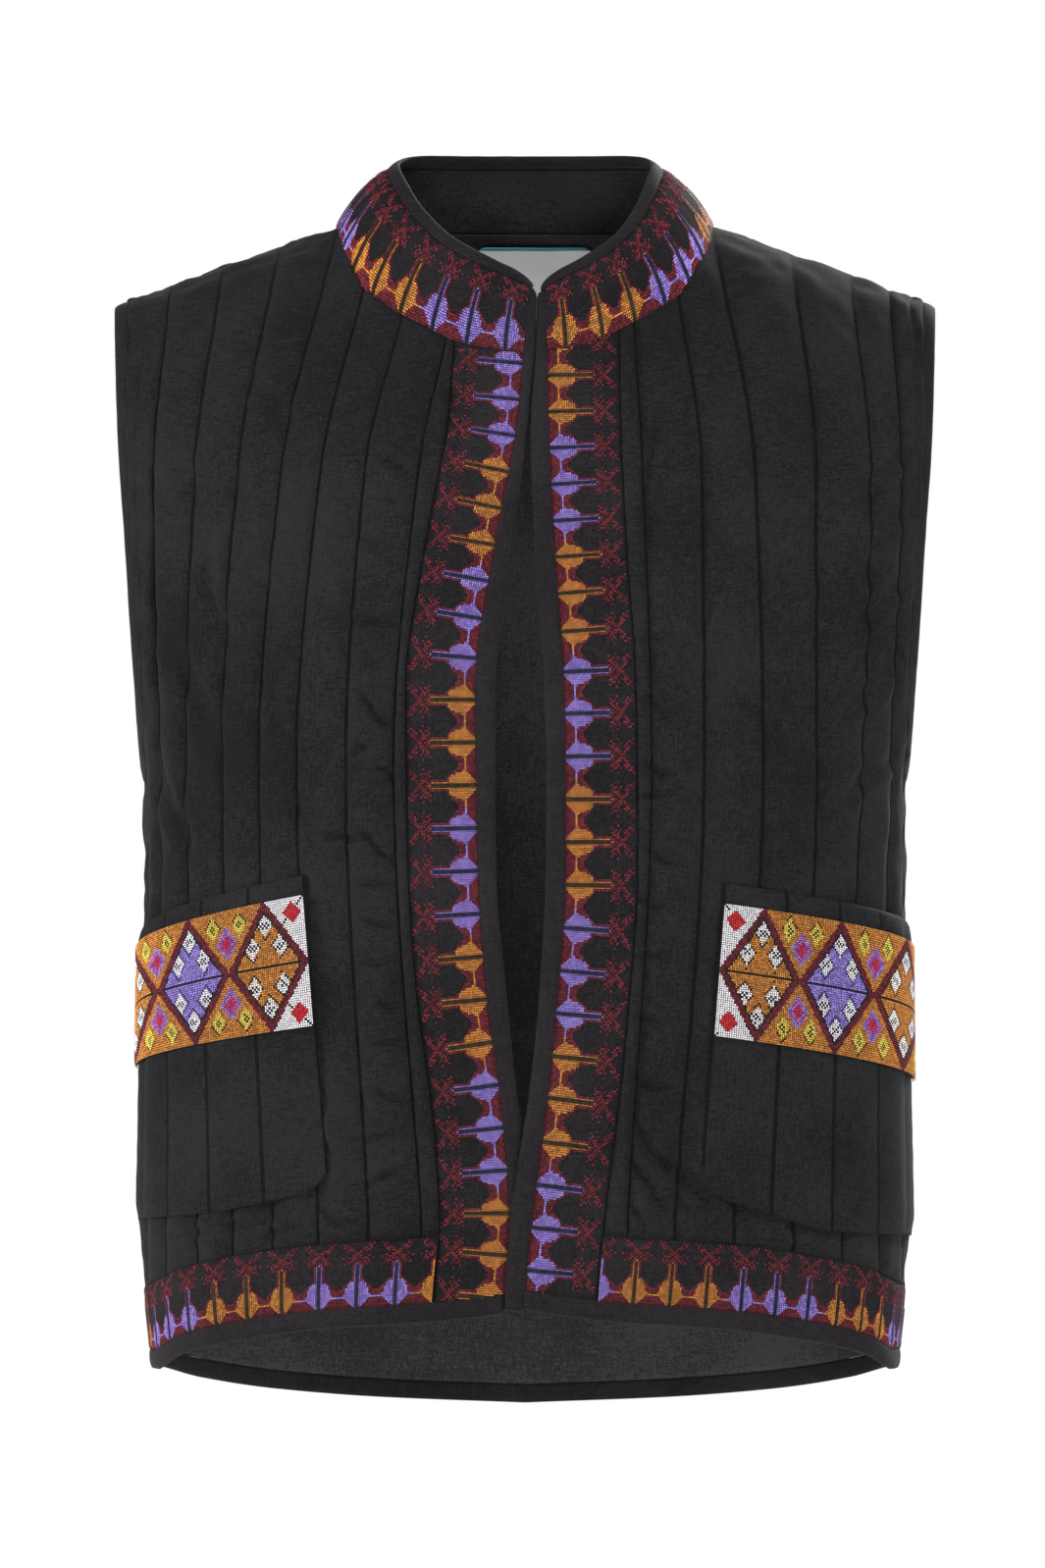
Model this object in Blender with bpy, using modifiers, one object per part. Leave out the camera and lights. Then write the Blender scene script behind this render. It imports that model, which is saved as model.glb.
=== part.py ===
import math
from collections import namedtuple

import bmesh
import bpy
from mathutils import Vector

# A quilted waistcoat with a stand collar, open down the front and filled out as when worn.
# +Z is up, the front faces -Y, and the wearer's left side is at +X.
# The origin lies between the shoulders, at the height of the side of the neck.
# Lengths and tables are in millimetres, and points become metres where a piece is made.

MM = 0.001
LEFT = 1
RIGHT = -1
FRONT = -1
BACK = 1

# The body of the garment, inside the lining
CORNER_ROUNDNESS = 2.6
SHOULDER_HEIGHT = 4.0
SHOULDER_SLOPE = 0.365
SHOULDER_SOFTNESS = 28.0
NECK_HALF = 95.0
ROLL = {FRONT: 170.0, BACK: 112.0}
ARMHOLE_REACH = {FRONT: 72.0, BACK: 66.0}
ARMHOLE_WIDEST = -208.0
ARMHOLE_BOTTOM = -277.0
OPENING_SHIFT = 5.5

# Walls of the pieces
STITCH_WALL = 1.3
CROWN_WALL = 4.3
SEAM_WALL = 1.6
BAND_WALL = 2.8
COLLAR_WALL = 3.2
BINDING_WALL = 3.2
BINDING_EDGE_WALL = 1.8
POCKET_WALL = 2.6
POCKET_STITCH_WALL = 1.1
STRIP_WALL = 1.8
LABEL_WALL = 1.0
SEAM_GAP = 0.5
LAID_GAP = 0.7
LABEL_GAP = 1.7
ARMHOLE_GAP = 0.8
COLLAR_LIFT = 1.7

# Widths of the pieces
HEM_BINDING = 9.0
HEM_BAND = 33.5
ARMHOLE_BINDING = 6.5
COLLAR_BINDING_SHARE = 0.13
COLLAR_TOP_HALF = 64.0
COLLAR_TOP_FRONT = 73.0
COLLAR_TOP_BACK = 50.0
COLLAR_BULGE = 3.5
COLLAR_LEAN = 0.6
COLLAR_ENDS = (-0.5, 1.0)
BINDING_CROWN_SHARE = 0.45
FRONT_LAP = 4.4
FRONT_LAP_START = -425.0
FRONT_LAP_FULL = -455.0
FRONT_LAP_LEVEL = 12.0
FRONT_LAP_FADE = 40.0

# How the quilting swells and fades
PUFF_CHANGE = 0.07
PUFF_LENGTH = 23.0
PUFF_TURN = 9.0
SIDE_THINNING = 0.5
SIDE_THINNING_START = math.radians(72)
SIDE_THINNING_END = math.radians(90)
QUILTING_FADE = 25.0
UNSTITCHED_SHARE = 0.9

# Heights at which the tables of quilting lines are read
CHEST = -120.0
WAIST = -270.0
HEM_LEVEL = -500.0
HEM_CORNER = -570.0
ABOVE_ALL = 50.0

# How finely the pieces are divided
CHANNEL_SHARES = (0.0, 0.24, 0.76)
NARROW_SHARES = (0.0, 0.5)
FRONT_SIDE_ROWS = 8
BACK_SIDE_ROWS = 9
ARMHOLE_ROWS = 10
CURVE_SAMPLES = 160
POCKET_CHANNELS = 5
POCKET_ROWS = 7
STRIP_COLUMNS = 10
STRIP_ROWS = 4

# Steps over which a surface's direction is measured
ANGLE_STEP = 0.01
HEIGHT_STEP = 1.0
SHOULDER_TIP_STEP = 3.0

Section = namedtuple("Section", "height half_width front_depth back_depth")
BODY = (
    Section(-30, 204.0, 116, 110),
    Section(-100, 202.5, 122, 118),
    Section(-150, 199.5, 127, 120),
    Section(-200, 196.5, 130, 120),
    Section(-240, 194.0, 131, 119),
    Section(-277, 193.0, 131, 118),
    Section(-350, 193.0, 130, 116),
    Section(-450, 194.0, 130, 116),
    Section(-500, 195.0, 131, 117),
    Section(-535, 193.0, 131, 117),
    Section(-565, 190.0, 130, 116),
    Section(-600, 187.5, 129, 115),
)

NeckPoint = namedtuple("NeckPoint", "from_centre height")
FRONT_NECK = (
    NeckPoint(0, -60),
    NeckPoint(31, -55),
    NeckPoint(54, -44.5),
    NeckPoint(68, -37),
    NeckPoint(82, -26.5),
    NeckPoint(91, -12.5),
    NeckPoint(NECK_HALF, SHOULDER_HEIGHT),
)
BACK_NECK_HEIGHT = 4.0

# The hem's height, from the centre (0) to the side seam (1)
HemPoint = namedtuple("HemPoint", "share height")
FRONT_HEM = (
    HemPoint(0.0, -547),
    HemPoint(0.1, -550.5),
    HemPoint(0.28, -554),
    HemPoint(0.57, -558),
    HemPoint(0.8, -564.5),
    HemPoint(0.93, -571),
    HemPoint(1.0, -579),
)
BACK_HEM = (
    HemPoint(0.0, -599),
    HemPoint(0.4, -596),
    HemPoint(0.69, -591.5),
    HemPoint(0.9, -585),
    HemPoint(1.0, -579),
)

# Where each front band begins and where each front's edge lies, as x at each height
FrontEdge = namedtuple("FrontEdge", "height right_band right_edge left_edge left_band")
FRONT_EDGES = (
    FrontEdge(-60, 0.0, 4.7, 5.3, 10.6),
    FrontEdge(-95, -3.0, 1.2, 2.8, 11.2),
    FrontEdge(-160, -15.0, -6.0, 5.0, 14.5),
    FrontEdge(-230, -24.5, -15.0, 10.0, 19.2),
    FrontEdge(-280, -24.0, -15.0, 11.0, 20.0),
    FrontEdge(-327, -23.0, -14.5, 10.5, 20.0),
    FrontEdge(-390, -18.5, -9.0, 7.0, 15.8),
    FrontEdge(-434, -12.5, -4.5, 2.5, 11.5),
    FrontEdge(-470, -8.8, 0.5, -3.0, 7.0),
    FrontEdge(-500, -7.2, 2.0, -7.0, 3.2),
    FrontEdge(-548, -10.5, -1.0, -10.2, -1.2),
    FrontEdge(-590, -12.0, -2.5, -12.0, -3.0),
)
BAND_WIDTH = {RIGHT: 36.0, LEFT: 36.8}

# Quilting lines, by their distance from the centre at four heights
QuiltLine = namedtuple("QuiltLine", "top chest waist hem")
RIGHT_QUILTING = (
    QuiltLine(39.5, 54, 66.5, 52.5),
    QuiltLine(62.5, 81.5, 91, 79.5),
    QuiltLine(82, 104, 116, 105),
    QuiltLine(NECK_HALF, 124, 135, 128),
    QuiltLine(125, 146, 153.5, 148),
    QuiltLine(154, 168, 171.5, 166),
    QuiltLine(181, 189, 185, 182),
    QuiltLine(193, 196.5, 191.5, 191.5),
)
LEFT_QUILTING = (
    QuiltLine(55, 59.5, 64, 52),
    QuiltLine(78, 90, 91, 76),
    QuiltLine(NECK_HALF, 117, 121, 106),
    QuiltLine(136, 148, 148, 136),
    QuiltLine(166, 176, 171, 161),
    QuiltLine(186, 191.5, 185.5, 180),
    QuiltLine(196, 197.5, 191.7, 191.5),
)
BACK_QUILTING = (
    QuiltLine(24, 26, 27.5, 27.5),
    QuiltLine(48, 52, 55, 55),
    QuiltLine(72, 77, 82, 82),
    QuiltLine(NECK_HALF, 101, 107, 107),
    QuiltLine(120, 125, 130, 130),
    QuiltLine(145, 148, 151, 151),
    QuiltLine(169, 170, 169, 169),
    QuiltLine(186, 187, 182.5, 182.5),
    QuiltLine(197, 196.5, 190.8, 190.8),
)

# The height of the collar's top edge, by the angle round the neck from the front
CollarTop = namedtuple("CollarTop", "angle height")
COLLAR_TOP = (
    CollarTop(0, -30),
    CollarTop(7, -20),
    CollarTop(20, -12),
    CollarTop(40, 0),
    CollarTop(60, 17),
    CollarTop(75, 29),
    CollarTop(90, 35),
    CollarTop(125, 37),
    CollarTop(180, 37),
)

# Pockets: x at the inner edge, and heights at the inner and outer edges
Pocket = namedtuple(
    "Pocket",
    "side top_x bottom_x top_inner top_outer bottom_inner bottom_middle bottom_outer "
    "strip_top_inner strip_top_outer strip_bottom_inner strip_bottom_outer",
)
POCKETS = (
    Pocket(RIGHT, 111.0, 98.5, -326, -357, -486, -499, -503, -335.5, -365, -403, -426),
    Pocket(LEFT, 100.0, 88.0, -330, -353, -490, -508, -511, -340, -364, -408, -433),
)
POCKET_BOTTOM_SHARES = (0.0, 0.08, 0.45, 1.0)
POCKET_CORNER_RISE = 5.0
POCKET_CORNER_DROP = 4.0
SEAM_CAUGHT_ANGLE = 89.4

LABEL_WIDTH = 60.0
LABEL_HEIGHT = 38.0
LABEL_TOP = -6.5
LABEL_CENTRE = 5.0

Finish = namedtuple("Finish", "colour roughness")
BLACK_COTTON = Finish((0.012, 0.011, 0.013), 0.8)
BLACK_BINDING = Finish((0.016, 0.014, 0.016), 0.75)
FRONT_EMBROIDERY = Finish((0.11, 0.035, 0.07), 0.85)
POCKET_EMBROIDERY = Finish((0.3, 0.13, 0.05), 0.85)
LABEL_CLOTH = Finish((0.8, 0.8, 0.8), 0.7)


def read(table, column, along, at):
    """The value of one column between the rows of a table, without overshoot."""
    places = [getattr(row, along) for row in table]
    values = [getattr(row, column) for row in table]
    if places[0] > places[-1]:
        places.reverse()
        values.reverse()
    return follow(places, values, at)


def follow(places, values, at):
    """A smooth curve through the values that never swings past them."""
    if at <= places[0]:
        return values[0]
    if at >= places[-1]:
        return values[-1]
    last = len(places) - 1
    i = max(k for k in range(last) if places[k] <= at)
    spans = [places[k + 1] - places[k] for k in range(last)]
    slopes = [(values[k + 1] - values[k]) / spans[k] for k in range(last)]

    def lean(k):
        if k in (0, last):
            return slopes[min(k, last - 1)]
        before, after = slopes[k - 1], slopes[k]
        return 0.0 if before * after <= 0 else 2 * before * after / (before + after)

    t = (at - places[i]) / spans[i]
    rise = values[i + 1] - values[i]
    start = lean(i) * spans[i]
    end = lean(i + 1) * spans[i]
    return values[i] + t * start + t * t * (3 * rise - 2 * start - end) + t**3 * (start + end - 2 * rise)


def ease(value):
    value = min(max(value, 0.0), 1.0)
    return value * value * (3 - 2 * value)


def mix(a, b, share):
    return a + (b - a) * share


def shoulder_height(x):
    reach = math.hypot(x, SHOULDER_SOFTNESS) - math.hypot(NECK_HALF, SHOULDER_SOFTNESS)
    return SHOULDER_HEIGHT - SHOULDER_SLOPE * reach


def neck_height(face, x):
    if face == BACK:
        return BACK_NECK_HEIGHT
    return read(FRONT_NECK, "height", "from_centre", abs(x))


def half_width(z):
    return read(BODY, "half_width", "height", z)


def section_depth(face, z):
    return read(BODY, "front_depth" if face == FRONT else "back_depth", "height", z)


def armhole_depth(face, z):
    """How far the armhole's edge stands forward or back of the side seam."""
    if z >= ARMHOLE_WIDEST:
        return ARMHOLE_REACH[face]
    below = (ARMHOLE_WIDEST - z) / (ARMHOLE_WIDEST - ARMHOLE_BOTTOM)
    return ARMHOLE_REACH[face] * math.sqrt(max(1 - below * below, 0.0))


def section_reach(face, z):
    """The half width of the whole rounded section, of which an armhole takes the end."""
    cut = armhole_depth(face, z) / section_depth(face, z)
    return half_width(z) / (1 - cut**CORNER_ROUNDNESS) ** (1 / CORNER_ROUNDNESS)


def body_point(face, x, z, side=None):
    """A point of the lining's inside at a place in the front view, with the left front's lap."""
    across = min(abs(x) / section_reach(face, z), 1.0)
    depth = section_depth(face, z) * (1 - across**CORNER_ROUNDNESS) ** (1 / CORNER_ROUNDNESS)
    below = min(max((shoulder_height(x) - z) / ROLL[face], 0.0), 1.0)
    depth *= math.sqrt(1 - (1 - below) ** 2)
    lift = front_lap(x, z) if (face, side) == (FRONT, LEFT) else 0.0
    return Vector((x, face * (depth + lift), z))


def front_lap(x, z):
    """The left front's edge lies over the right one near the hem."""
    edge = read(FRONT_EDGES, "left_edge", "height", z)
    if x < edge - SEAM_GAP:
        return 0.0
    down = ease((FRONT_LAP_START - z) / (FRONT_LAP_START - FRONT_LAP_FULL))
    return FRONT_LAP * down * (1 - ease((x - edge - FRONT_LAP_LEVEL) / FRONT_LAP_FADE))


def angle_at(face, x, z):
    return math.asin(min(abs(x) / section_reach(face, z), 1.0))


def point_at(face, side, angle, z):
    return body_point(face, side * section_reach(face, z) * math.sin(angle), z, side)


def outward_normal(face, side, angle, z):
    inner = point_at(face, side, max(angle - ANGLE_STEP, 0.0), z)
    outer = point_at(face, side, min(angle + ANGLE_STEP, math.pi / 2), z)
    across = outer - inner
    above = point_at(face, side, angle, z + HEIGHT_STEP)
    up = above - point_at(face, side, angle, z - HEIGHT_STEP)
    normal = across.cross(up).normalized()
    centre = Vector((0, 0, z))
    return normal if normal.dot(point_at(face, side, angle, z) - centre) > 0 else -normal


def hem_height(face, x):
    table = FRONT_HEM if face == FRONT else BACK_HEM
    return read(table, "height", "share", abs(x) / half_width(HEM_CORNER))


def even_heights(curve, low, high, count):
    """Heights that divide a curve from low to high into equal lengths."""
    heights = [
        mix(low, high, 0.5 - 0.5 * math.cos(math.pi * k / CURVE_SAMPLES))
        for k in range(CURVE_SAMPLES + 1)
    ]
    points = [curve(z) for z in heights]
    run = [0.0]
    for before, after in zip(points, points[1:]):
        run.append(run[-1] + (after - before).length)
    return [follow_line(run, heights, run[-1] * k / count) for k in range(count + 1)]


def follow_line(places, values, at):
    for k in range(len(places) - 1):
        if at <= places[k + 1]:
            return mix(values[k], values[k + 1], (at - places[k]) / (places[k + 1] - places[k]))
    return values[-1]


def top_height(face, x):
    if abs(x) < NECK_HALF:
        return neck_height(face, x) - SEAM_GAP
    return shoulder_height(x)


def quilt_place(face, line, z):
    """A quilting line's distance from the centre at a height."""
    scale = half_width(z) / half_width(WAIST) if z < WAIST and face == BACK else 1.0
    heights = (HEM_LEVEL, WAIST, CHEST, top_height(face, line.top))
    return scale * follow(heights, (line.hem, line.waist, line.chest, line.top), z)


def band_seam(side, z):
    if side == RIGHT:
        return -read(FRONT_EDGES, "right_band", "height", z) + BAND_WIDTH[RIGHT]
    return read(FRONT_EDGES, "left_band", "height", z) + BAND_WIDTH[LEFT]


def panel_lines(face, side):
    """The panel's inner seam, its quilting lines and its outer edge, each as angle by height."""
    if face == BACK:
        inner = lambda z: 0.0
        quilting = BACK_QUILTING
    else:
        inner = lambda z: band_seam(side, z) + SEAM_GAP
        quilting = RIGHT_QUILTING if side == RIGHT else LEFT_QUILTING
    lines = [inner]
    lines += [lambda z, line=line: quilt_place(face, line, z) for line in quilting]
    lines.append(half_width)
    return lines


def panel_heights(face, line, is_edge, side_rows):
    """The heights of the rows along one line of a panel."""
    bottom_x = line(HEM_LEVEL)
    lift = HEM_BINDING + SEAM_GAP + (HEM_BAND + SEAM_GAP if face == FRONT else 0)
    low = hem_height(face, bottom_x) + lift
    if is_edge:
        curve = lambda z: body_point(face, half_width(z), z)
        tip = shoulder_height(half_width(BODY[0].height))
        side = [mix(low, ARMHOLE_BOTTOM, k / side_rows) for k in range(side_rows)]
        return side + even_heights(curve, ARMHOLE_BOTTOM, tip, ARMHOLE_ROWS)
    high = top_height(face, line(ABOVE_ALL))
    curve = lambda z: body_point(face, line(z), z)
    return even_heights(curve, low, high, side_rows + ARMHOLE_ROWS)


def thinned_crown(angle):
    """The full wall, which grows thinner towards the side seam."""
    span = SIDE_THINNING_END - SIDE_THINNING_START
    return CROWN_WALL * (1 - SIDE_THINNING * ease((angle - SIDE_THINNING_START) / span))


def quilted_wall(angle, z, share, fades, at_end):
    """The wall is thin along a stitched line and full between two of them."""
    full = thinned_crown(angle) * (1 + PUFF_CHANGE * math.sin(z / PUFF_LENGTH + PUFF_TURN * angle))
    fading = ease((z - ARMHOLE_BOTTOM) / QUILTING_FADE) if fades else 0.0
    wall = full if share > 0 else mix(STITCH_WALL, full * UNSTITCHED_SHARE, fading)
    return min(wall, SEAM_WALL) if at_end else wall


def wall_limit(angle):
    """The most that a quilted panel's wall reaches."""
    return thinned_crown(angle) * (1 + PUFF_CHANGE)


def channel_columns(count, narrow_first):
    """Each column as the number of its line and its share of the way to the next."""
    columns = []
    for channel in range(count):
        shares = NARROW_SHARES if narrow_first and channel == 0 else CHANNEL_SHARES
        columns += [(channel, share) for share in shares]
    return columns + [(count, 0.0)]


def panel_grid(face, side, side_rows):
    """Angles, heights and walls of one half of a panel, column by column from the centre out."""
    lines = panel_lines(face, side)
    last = len(lines) - 1
    heights = [panel_heights(face, line, k == last, side_rows) for k, line in enumerate(lines)]
    angles = [
        [angle_at(face, line(z), z) for z in heights[k]] for k, line in enumerate(lines)
    ]
    grid = []
    rows = side_rows + ARMHOLE_ROWS
    for line, share in channel_columns(last, face == FRONT):
        after = min(line + 1, last)
        column = []
        for row in range(rows + 1):
            z = mix(heights[line][row], heights[after][row], share)
            angle = mix(angles[line][row], angles[after][row], share)
            wall = quilted_wall(angle, z, share, line >= last - 1, row in (0, rows))
            if line == last or (line == 0 and face == FRONT and share == 0):
                wall = SEAM_WALL
            column.append((angle, z, wall))
        grid.append(column)
    return grid


def placed(face, side, column):
    """A column's points and walls, with the back kept clear of the front at the side and shoulder."""
    shift = Vector((0, SEAM_GAP if face == BACK else 0, 0))
    return [(point_at(face, side, angle, z) + shift, wall) for angle, z, wall in column]


def strip_below(face, side, panel, drop, width, walls):
    """A strip sewn under a panel's lower edge, on the panel's own columns."""
    grid = []
    inner_was = panel[0][0][0]
    steps = len(walls) - 1
    for column in panel:
        angle, low, _ = column[0]
        share = (angle - inner_was) / (math.pi / 2 - inner_was)
        strip = []
        for j, wall in enumerate(walls):
            z = low - drop - width * (1 - j / steps)
            inner = angle_at(face, band_seam(side, z) + SEAM_GAP, z) if face == FRONT else 0.0
            ends = column in (panel[0], panel[-1])
            strip.append((mix(inner, math.pi / 2, share), z, SEAM_WALL if ends else wall))
        grid.append(placed(face, side, strip))
    return grid


def cloth(name, grid, finish, inward=False, round_end=False):
    """Lays a grid of points as cloth, and gives it its wall on the outer side."""
    columns = len(grid) - 1
    rows = len(grid[0]) - 1
    form = bmesh.new()
    bmesh.ops.create_grid(form, x_segments=columns, y_segments=rows, size=1)
    form.verts.ensure_lookup_table()
    thickest = max(wall for column in grid for _, wall in column)
    layer = form.verts.layers.deform.new()
    for vert in form.verts:
        i = round((vert.co.x + 1) / 2 * columns)
        j = round((vert.co.y + 1) / 2 * rows)
        point, wall = grid[i][j]
        vert.co = point * MM
        vert[layer][0] = wall / thickest
    if round_end:
        bmesh.ops.remove_doubles(form, verts=form.verts, dist=1e-6)
    form.normal_update()
    outwards = sum(
        face.normal.x * face.calc_center_median().x + face.normal.y * face.calc_center_median().y
        for face in form.faces
    )
    if (outwards < 0) != inward:
        bmesh.ops.reverse_faces(form, faces=form.faces)
    mesh = bpy.data.meshes.new(name)
    form.to_mesh(mesh)
    form.free()
    mesh.shade_smooth()
    piece = bpy.data.objects.new(name, mesh)
    waistcoat.objects.link(piece)
    piece.vertex_groups.new(name="wall")
    wall = piece.modifiers.new("wall", "SOLIDIFY")
    wall.thickness = thickest * MM
    wall.offset = 1
    wall.vertex_group = "wall"
    wall.use_even_offset = False
    mesh.materials.append(material(name, finish))
    return piece


def material(name, finish):
    made = bpy.data.materials.new(name)
    made.use_nodes = True
    shader = made.node_tree.nodes["Principled BSDF"]
    shader.inputs["Base Color"].default_value = (*finish.colour, 1)
    shader.inputs["Roughness"].default_value = finish.roughness
    shader.inputs["Metallic"].default_value = 0
    return made


def side_name(name, side):
    return f"{name}_{'left' if side == LEFT else 'right'}"


def front_panel(side):
    grid = [placed(FRONT, side, column) for column in panels[side]]
    cloth(side_name("front", side), grid, BLACK_COTTON)


def both_sides(half):
    """Joins the right and left halves of a back piece at the centre line."""
    return half(RIGHT)[::-1] + half(LEFT)[1:]


def back_panel():
    panel = panels[BACK_PANEL]
    half = lambda side: [placed(BACK, side, column) for column in panel]
    cloth("back", both_sides(half), BLACK_COTTON)
    walls = (BINDING_EDGE_WALL, BINDING_WALL, SEAM_WALL)
    strip = lambda side: strip_below(BACK, side, panel, SEAM_GAP, HEM_BINDING, walls)
    cloth("hem_binding_back", both_sides(strip), BLACK_BINDING)


def edge_x(side, z, share):
    """From the front's open edge (0) to where its embroidered band begins (1)."""
    names = ("right_edge", "right_band") if side == RIGHT else ("left_edge", "left_band")
    edge, band = (read(FRONT_EDGES, name, "height", z) for name in names)
    return mix(edge, band, share)


def strip_walls(count, full, edge):
    return [edge if k in (0, count) else full for k in range(count + 1)]


def band_columns(side, columns=3):
    """The front band's columns, as distances across it from the binding."""
    return [mix(SEAM_GAP / 2, BAND_WIDTH[side] - SEAM_GAP / 2, i / columns) for i in range(columns + 1)]


def band_point(side, across, z):
    return body_point(FRONT, edge_x(side, z, 1) + side * across, z, side)


def band_foot(side, across):
    """The height of the front band's lower end."""
    x = edge_x(side, FRONT_HEM[0].height, 1) + side * across
    return hem_height(FRONT, x) + HEM_BINDING + SEAM_GAP


def front_band(side, rows=18):
    """The embroidered band beside a front's binding, from the hem to the collar."""
    grid = []
    crosses = band_columns(side)
    walls = strip_walls(len(crosses) - 1, BAND_WALL, SEAM_WALL)
    neck = FRONT_NECK[0].height
    for across, wall in zip(crosses, walls):
        high = neck_height(FRONT, edge_x(side, neck, 1) + side * across) - SEAM_GAP
        column = []
        for j in range(rows + 1):
            z = mix(band_foot(side, across), high, j / rows)
            column.append((band_point(side, across, z), SEAM_WALL if j in (0, rows) else wall))
        grid.append(column)
    cloth(side_name("front_band", side), grid, FRONT_EMBROIDERY)


def neck_angle(face, x):
    """The angle round the neck, 0 at the front and 180 degrees at the back, of a point of its seam."""
    share = x / NECK_HALF
    if face == FRONT:
        share -= OPENING_SHIFT / NECK_HALF * (1 - share * share)
    turn = math.asin(min(max(share, -1.0), 1.0))
    return turn if face == FRONT else math.pi - turn


def collar_top(angle):
    x = COLLAR_TOP_HALF * math.sin(angle)
    depth = COLLAR_TOP_FRONT if math.cos(angle) > 0 else COLLAR_TOP_BACK
    if math.cos(angle) > 0:
        x += (OPENING_SHIFT + 1) * math.cos(angle) ** 2
    turn = abs(math.degrees(math.atan2(math.sin(angle), math.cos(angle))))
    return Vector((x, -depth * math.cos(angle), read(COLLAR_TOP, "height", "angle", turn)))


def collar_point(base, angle, share):
    out = Vector((math.sin(angle), -math.cos(angle), COLLAR_LEAN)).normalized()
    return base.lerp(collar_top(angle), share) + out * COLLAR_BULGE * math.sin(math.pi * share)


def neck_seam():
    """The seam round the neck, made from the points at the tops of the bands and panels."""
    seam = []
    for side in (LEFT, RIGHT):
        half = []
        neck = FRONT_NECK[0].height
        for across in band_columns(side):
            x = edge_x(side, neck, 1) + side * across
            half.append((FRONT, body_point(FRONT, x, neck_height(FRONT, x) - SEAM_GAP)))
        for face, panel in ((FRONT, panels[side]), (BACK, panels[BACK_PANEL][::-1])):
            tops = [placed(face, side, column)[-1][0] for column in panel]
            tops = [top for top in tops if abs(top.x) < NECK_HALF - 1]
            if face == FRONT:
                tops = tops[1:] + [body_point(FRONT, side * NECK_HALF, SHOULDER_HEIGHT)]
            half += [(face, top) for top in tops]
        seam += half if side == LEFT else half[-2::-1]
    return [(point, neck_angle(face, point.x)) for face, point in seam]


def collar_ring(name, seam, low, high, walls, finish):
    """A strip of the collar, from one front edge round the back to the other."""
    grid = []
    steps = len(walls) - 1
    for base, angle in seam:
        ends = base in (seam[0][0], seam[-1][0])
        column = []
        for j, wall in enumerate(walls):
            share = mix(low, high, j / steps)
            column.append((collar_point(base, angle, share), SEAM_WALL if ends else wall))
        grid.append(column)
    cloth(name, grid, finish)


def collar():
    seam = neck_seam()
    height = (collar_top(math.pi / 2) - Vector((NECK_HALF, 0, SHOULDER_HEIGHT))).length
    fold = 1 - COLLAR_BINDING_SHARE
    walls = strip_walls(4, COLLAR_WALL, SEAM_WALL)
    collar_ring("collar", seam, COLLAR_LIFT / height, fold - SEAM_GAP / height, walls, FRONT_EMBROIDERY)
    walls = (SEAM_WALL, BINDING_WALL, BINDING_EDGE_WALL)
    collar_ring("neck_binding", seam, fold, 1, walls, BLACK_BINDING)


def front_binding(side, rows=20, collar_rows=3):
    """The binding of a front's open edge, from the hem up over the collar's end."""
    walls = (BINDING_EDGE_WALL, BINDING_WALL, SEAM_WALL)
    neck = FRONT_NECK[0].height
    grid = []
    for wall, share in zip(walls, (0.0, BINDING_CROWN_SHARE, 1.0)):
        column = []
        for j in range(rows + 1):
            z = mix(FRONT_HEM[0].height, neck, j / rows)
            x = edge_x(side, z, share) - side * SEAM_GAP / 2 * share
            column.append((body_point(FRONT, x, z, side), wall))
        end = body_point(FRONT, edge_x(side, neck, 1) + side * SEAM_GAP / 2, neck)
        angle = neck_angle(FRONT, end.x)
        for j in range(1, collar_rows + 1):
            up = j / collar_rows
            point = collar_point(end, angle, up)
            open_x = OPENING_SHIFT + mix(*COLLAR_ENDS, up) + side * SEAM_GAP / 2
            inner_x = point.x - side * mix(SEAM_GAP, 2 * SEAM_GAP, up)
            column.append((Vector((mix(open_x, inner_x, share), point.y, point.z)), wall))
        grid.append(column)
    cloth(side_name("front_binding", side), grid, BLACK_BINDING)


def hem_pieces(side):
    """The front's embroidered hem band, and the binding below it and the front band."""
    band_walls = strip_walls(2, BAND_WALL, SEAM_WALL)
    band = strip_below(FRONT, side, panels[side], SEAM_GAP, HEM_BAND, band_walls)
    cloth(side_name("hem_band", side), band, FRONT_EMBROIDERY)
    walls = (BINDING_EDGE_WALL, BINDING_WALL, SEAM_WALL)
    drop = SEAM_GAP + HEM_BAND + SEAM_GAP
    binding = strip_below(FRONT, side, panels[side], drop, HEM_BINDING, walls)[1:]
    below_band = []
    for across in band_columns(side):
        column = []
        for j, wall in enumerate(walls):
            z = band_foot(side, across) - SEAM_GAP - HEM_BINDING * (1 - j / 2)
            column.append((band_point(side, across, z), SEAM_WALL if across < SEAM_GAP else wall))
        below_band.append(column)
    cloth(side_name("hem_binding", side), below_band + binding, BLACK_BINDING)


def armhole_edge(side):
    """Points and normals round the armhole, up the front from the side seam and down the back."""
    ring = []
    for face, order in ((FRONT, 1), (BACK, -1)):
        curve = lambda z: body_point(face, half_width(z), z)
        tip = shoulder_height(half_width(BODY[0].height))
        heights = even_heights(curve, ARMHOLE_BOTTOM, tip, ARMHOLE_ROWS)[::order]
        for z in heights[:-1]:
            angle = angle_at(face, half_width(z), z)
            normal = outward_normal(face, side, angle, min(z, tip - SHOULDER_TIP_STEP))
            ring.append((body_point(face, side * half_width(z), z), normal))
    return ring


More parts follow.
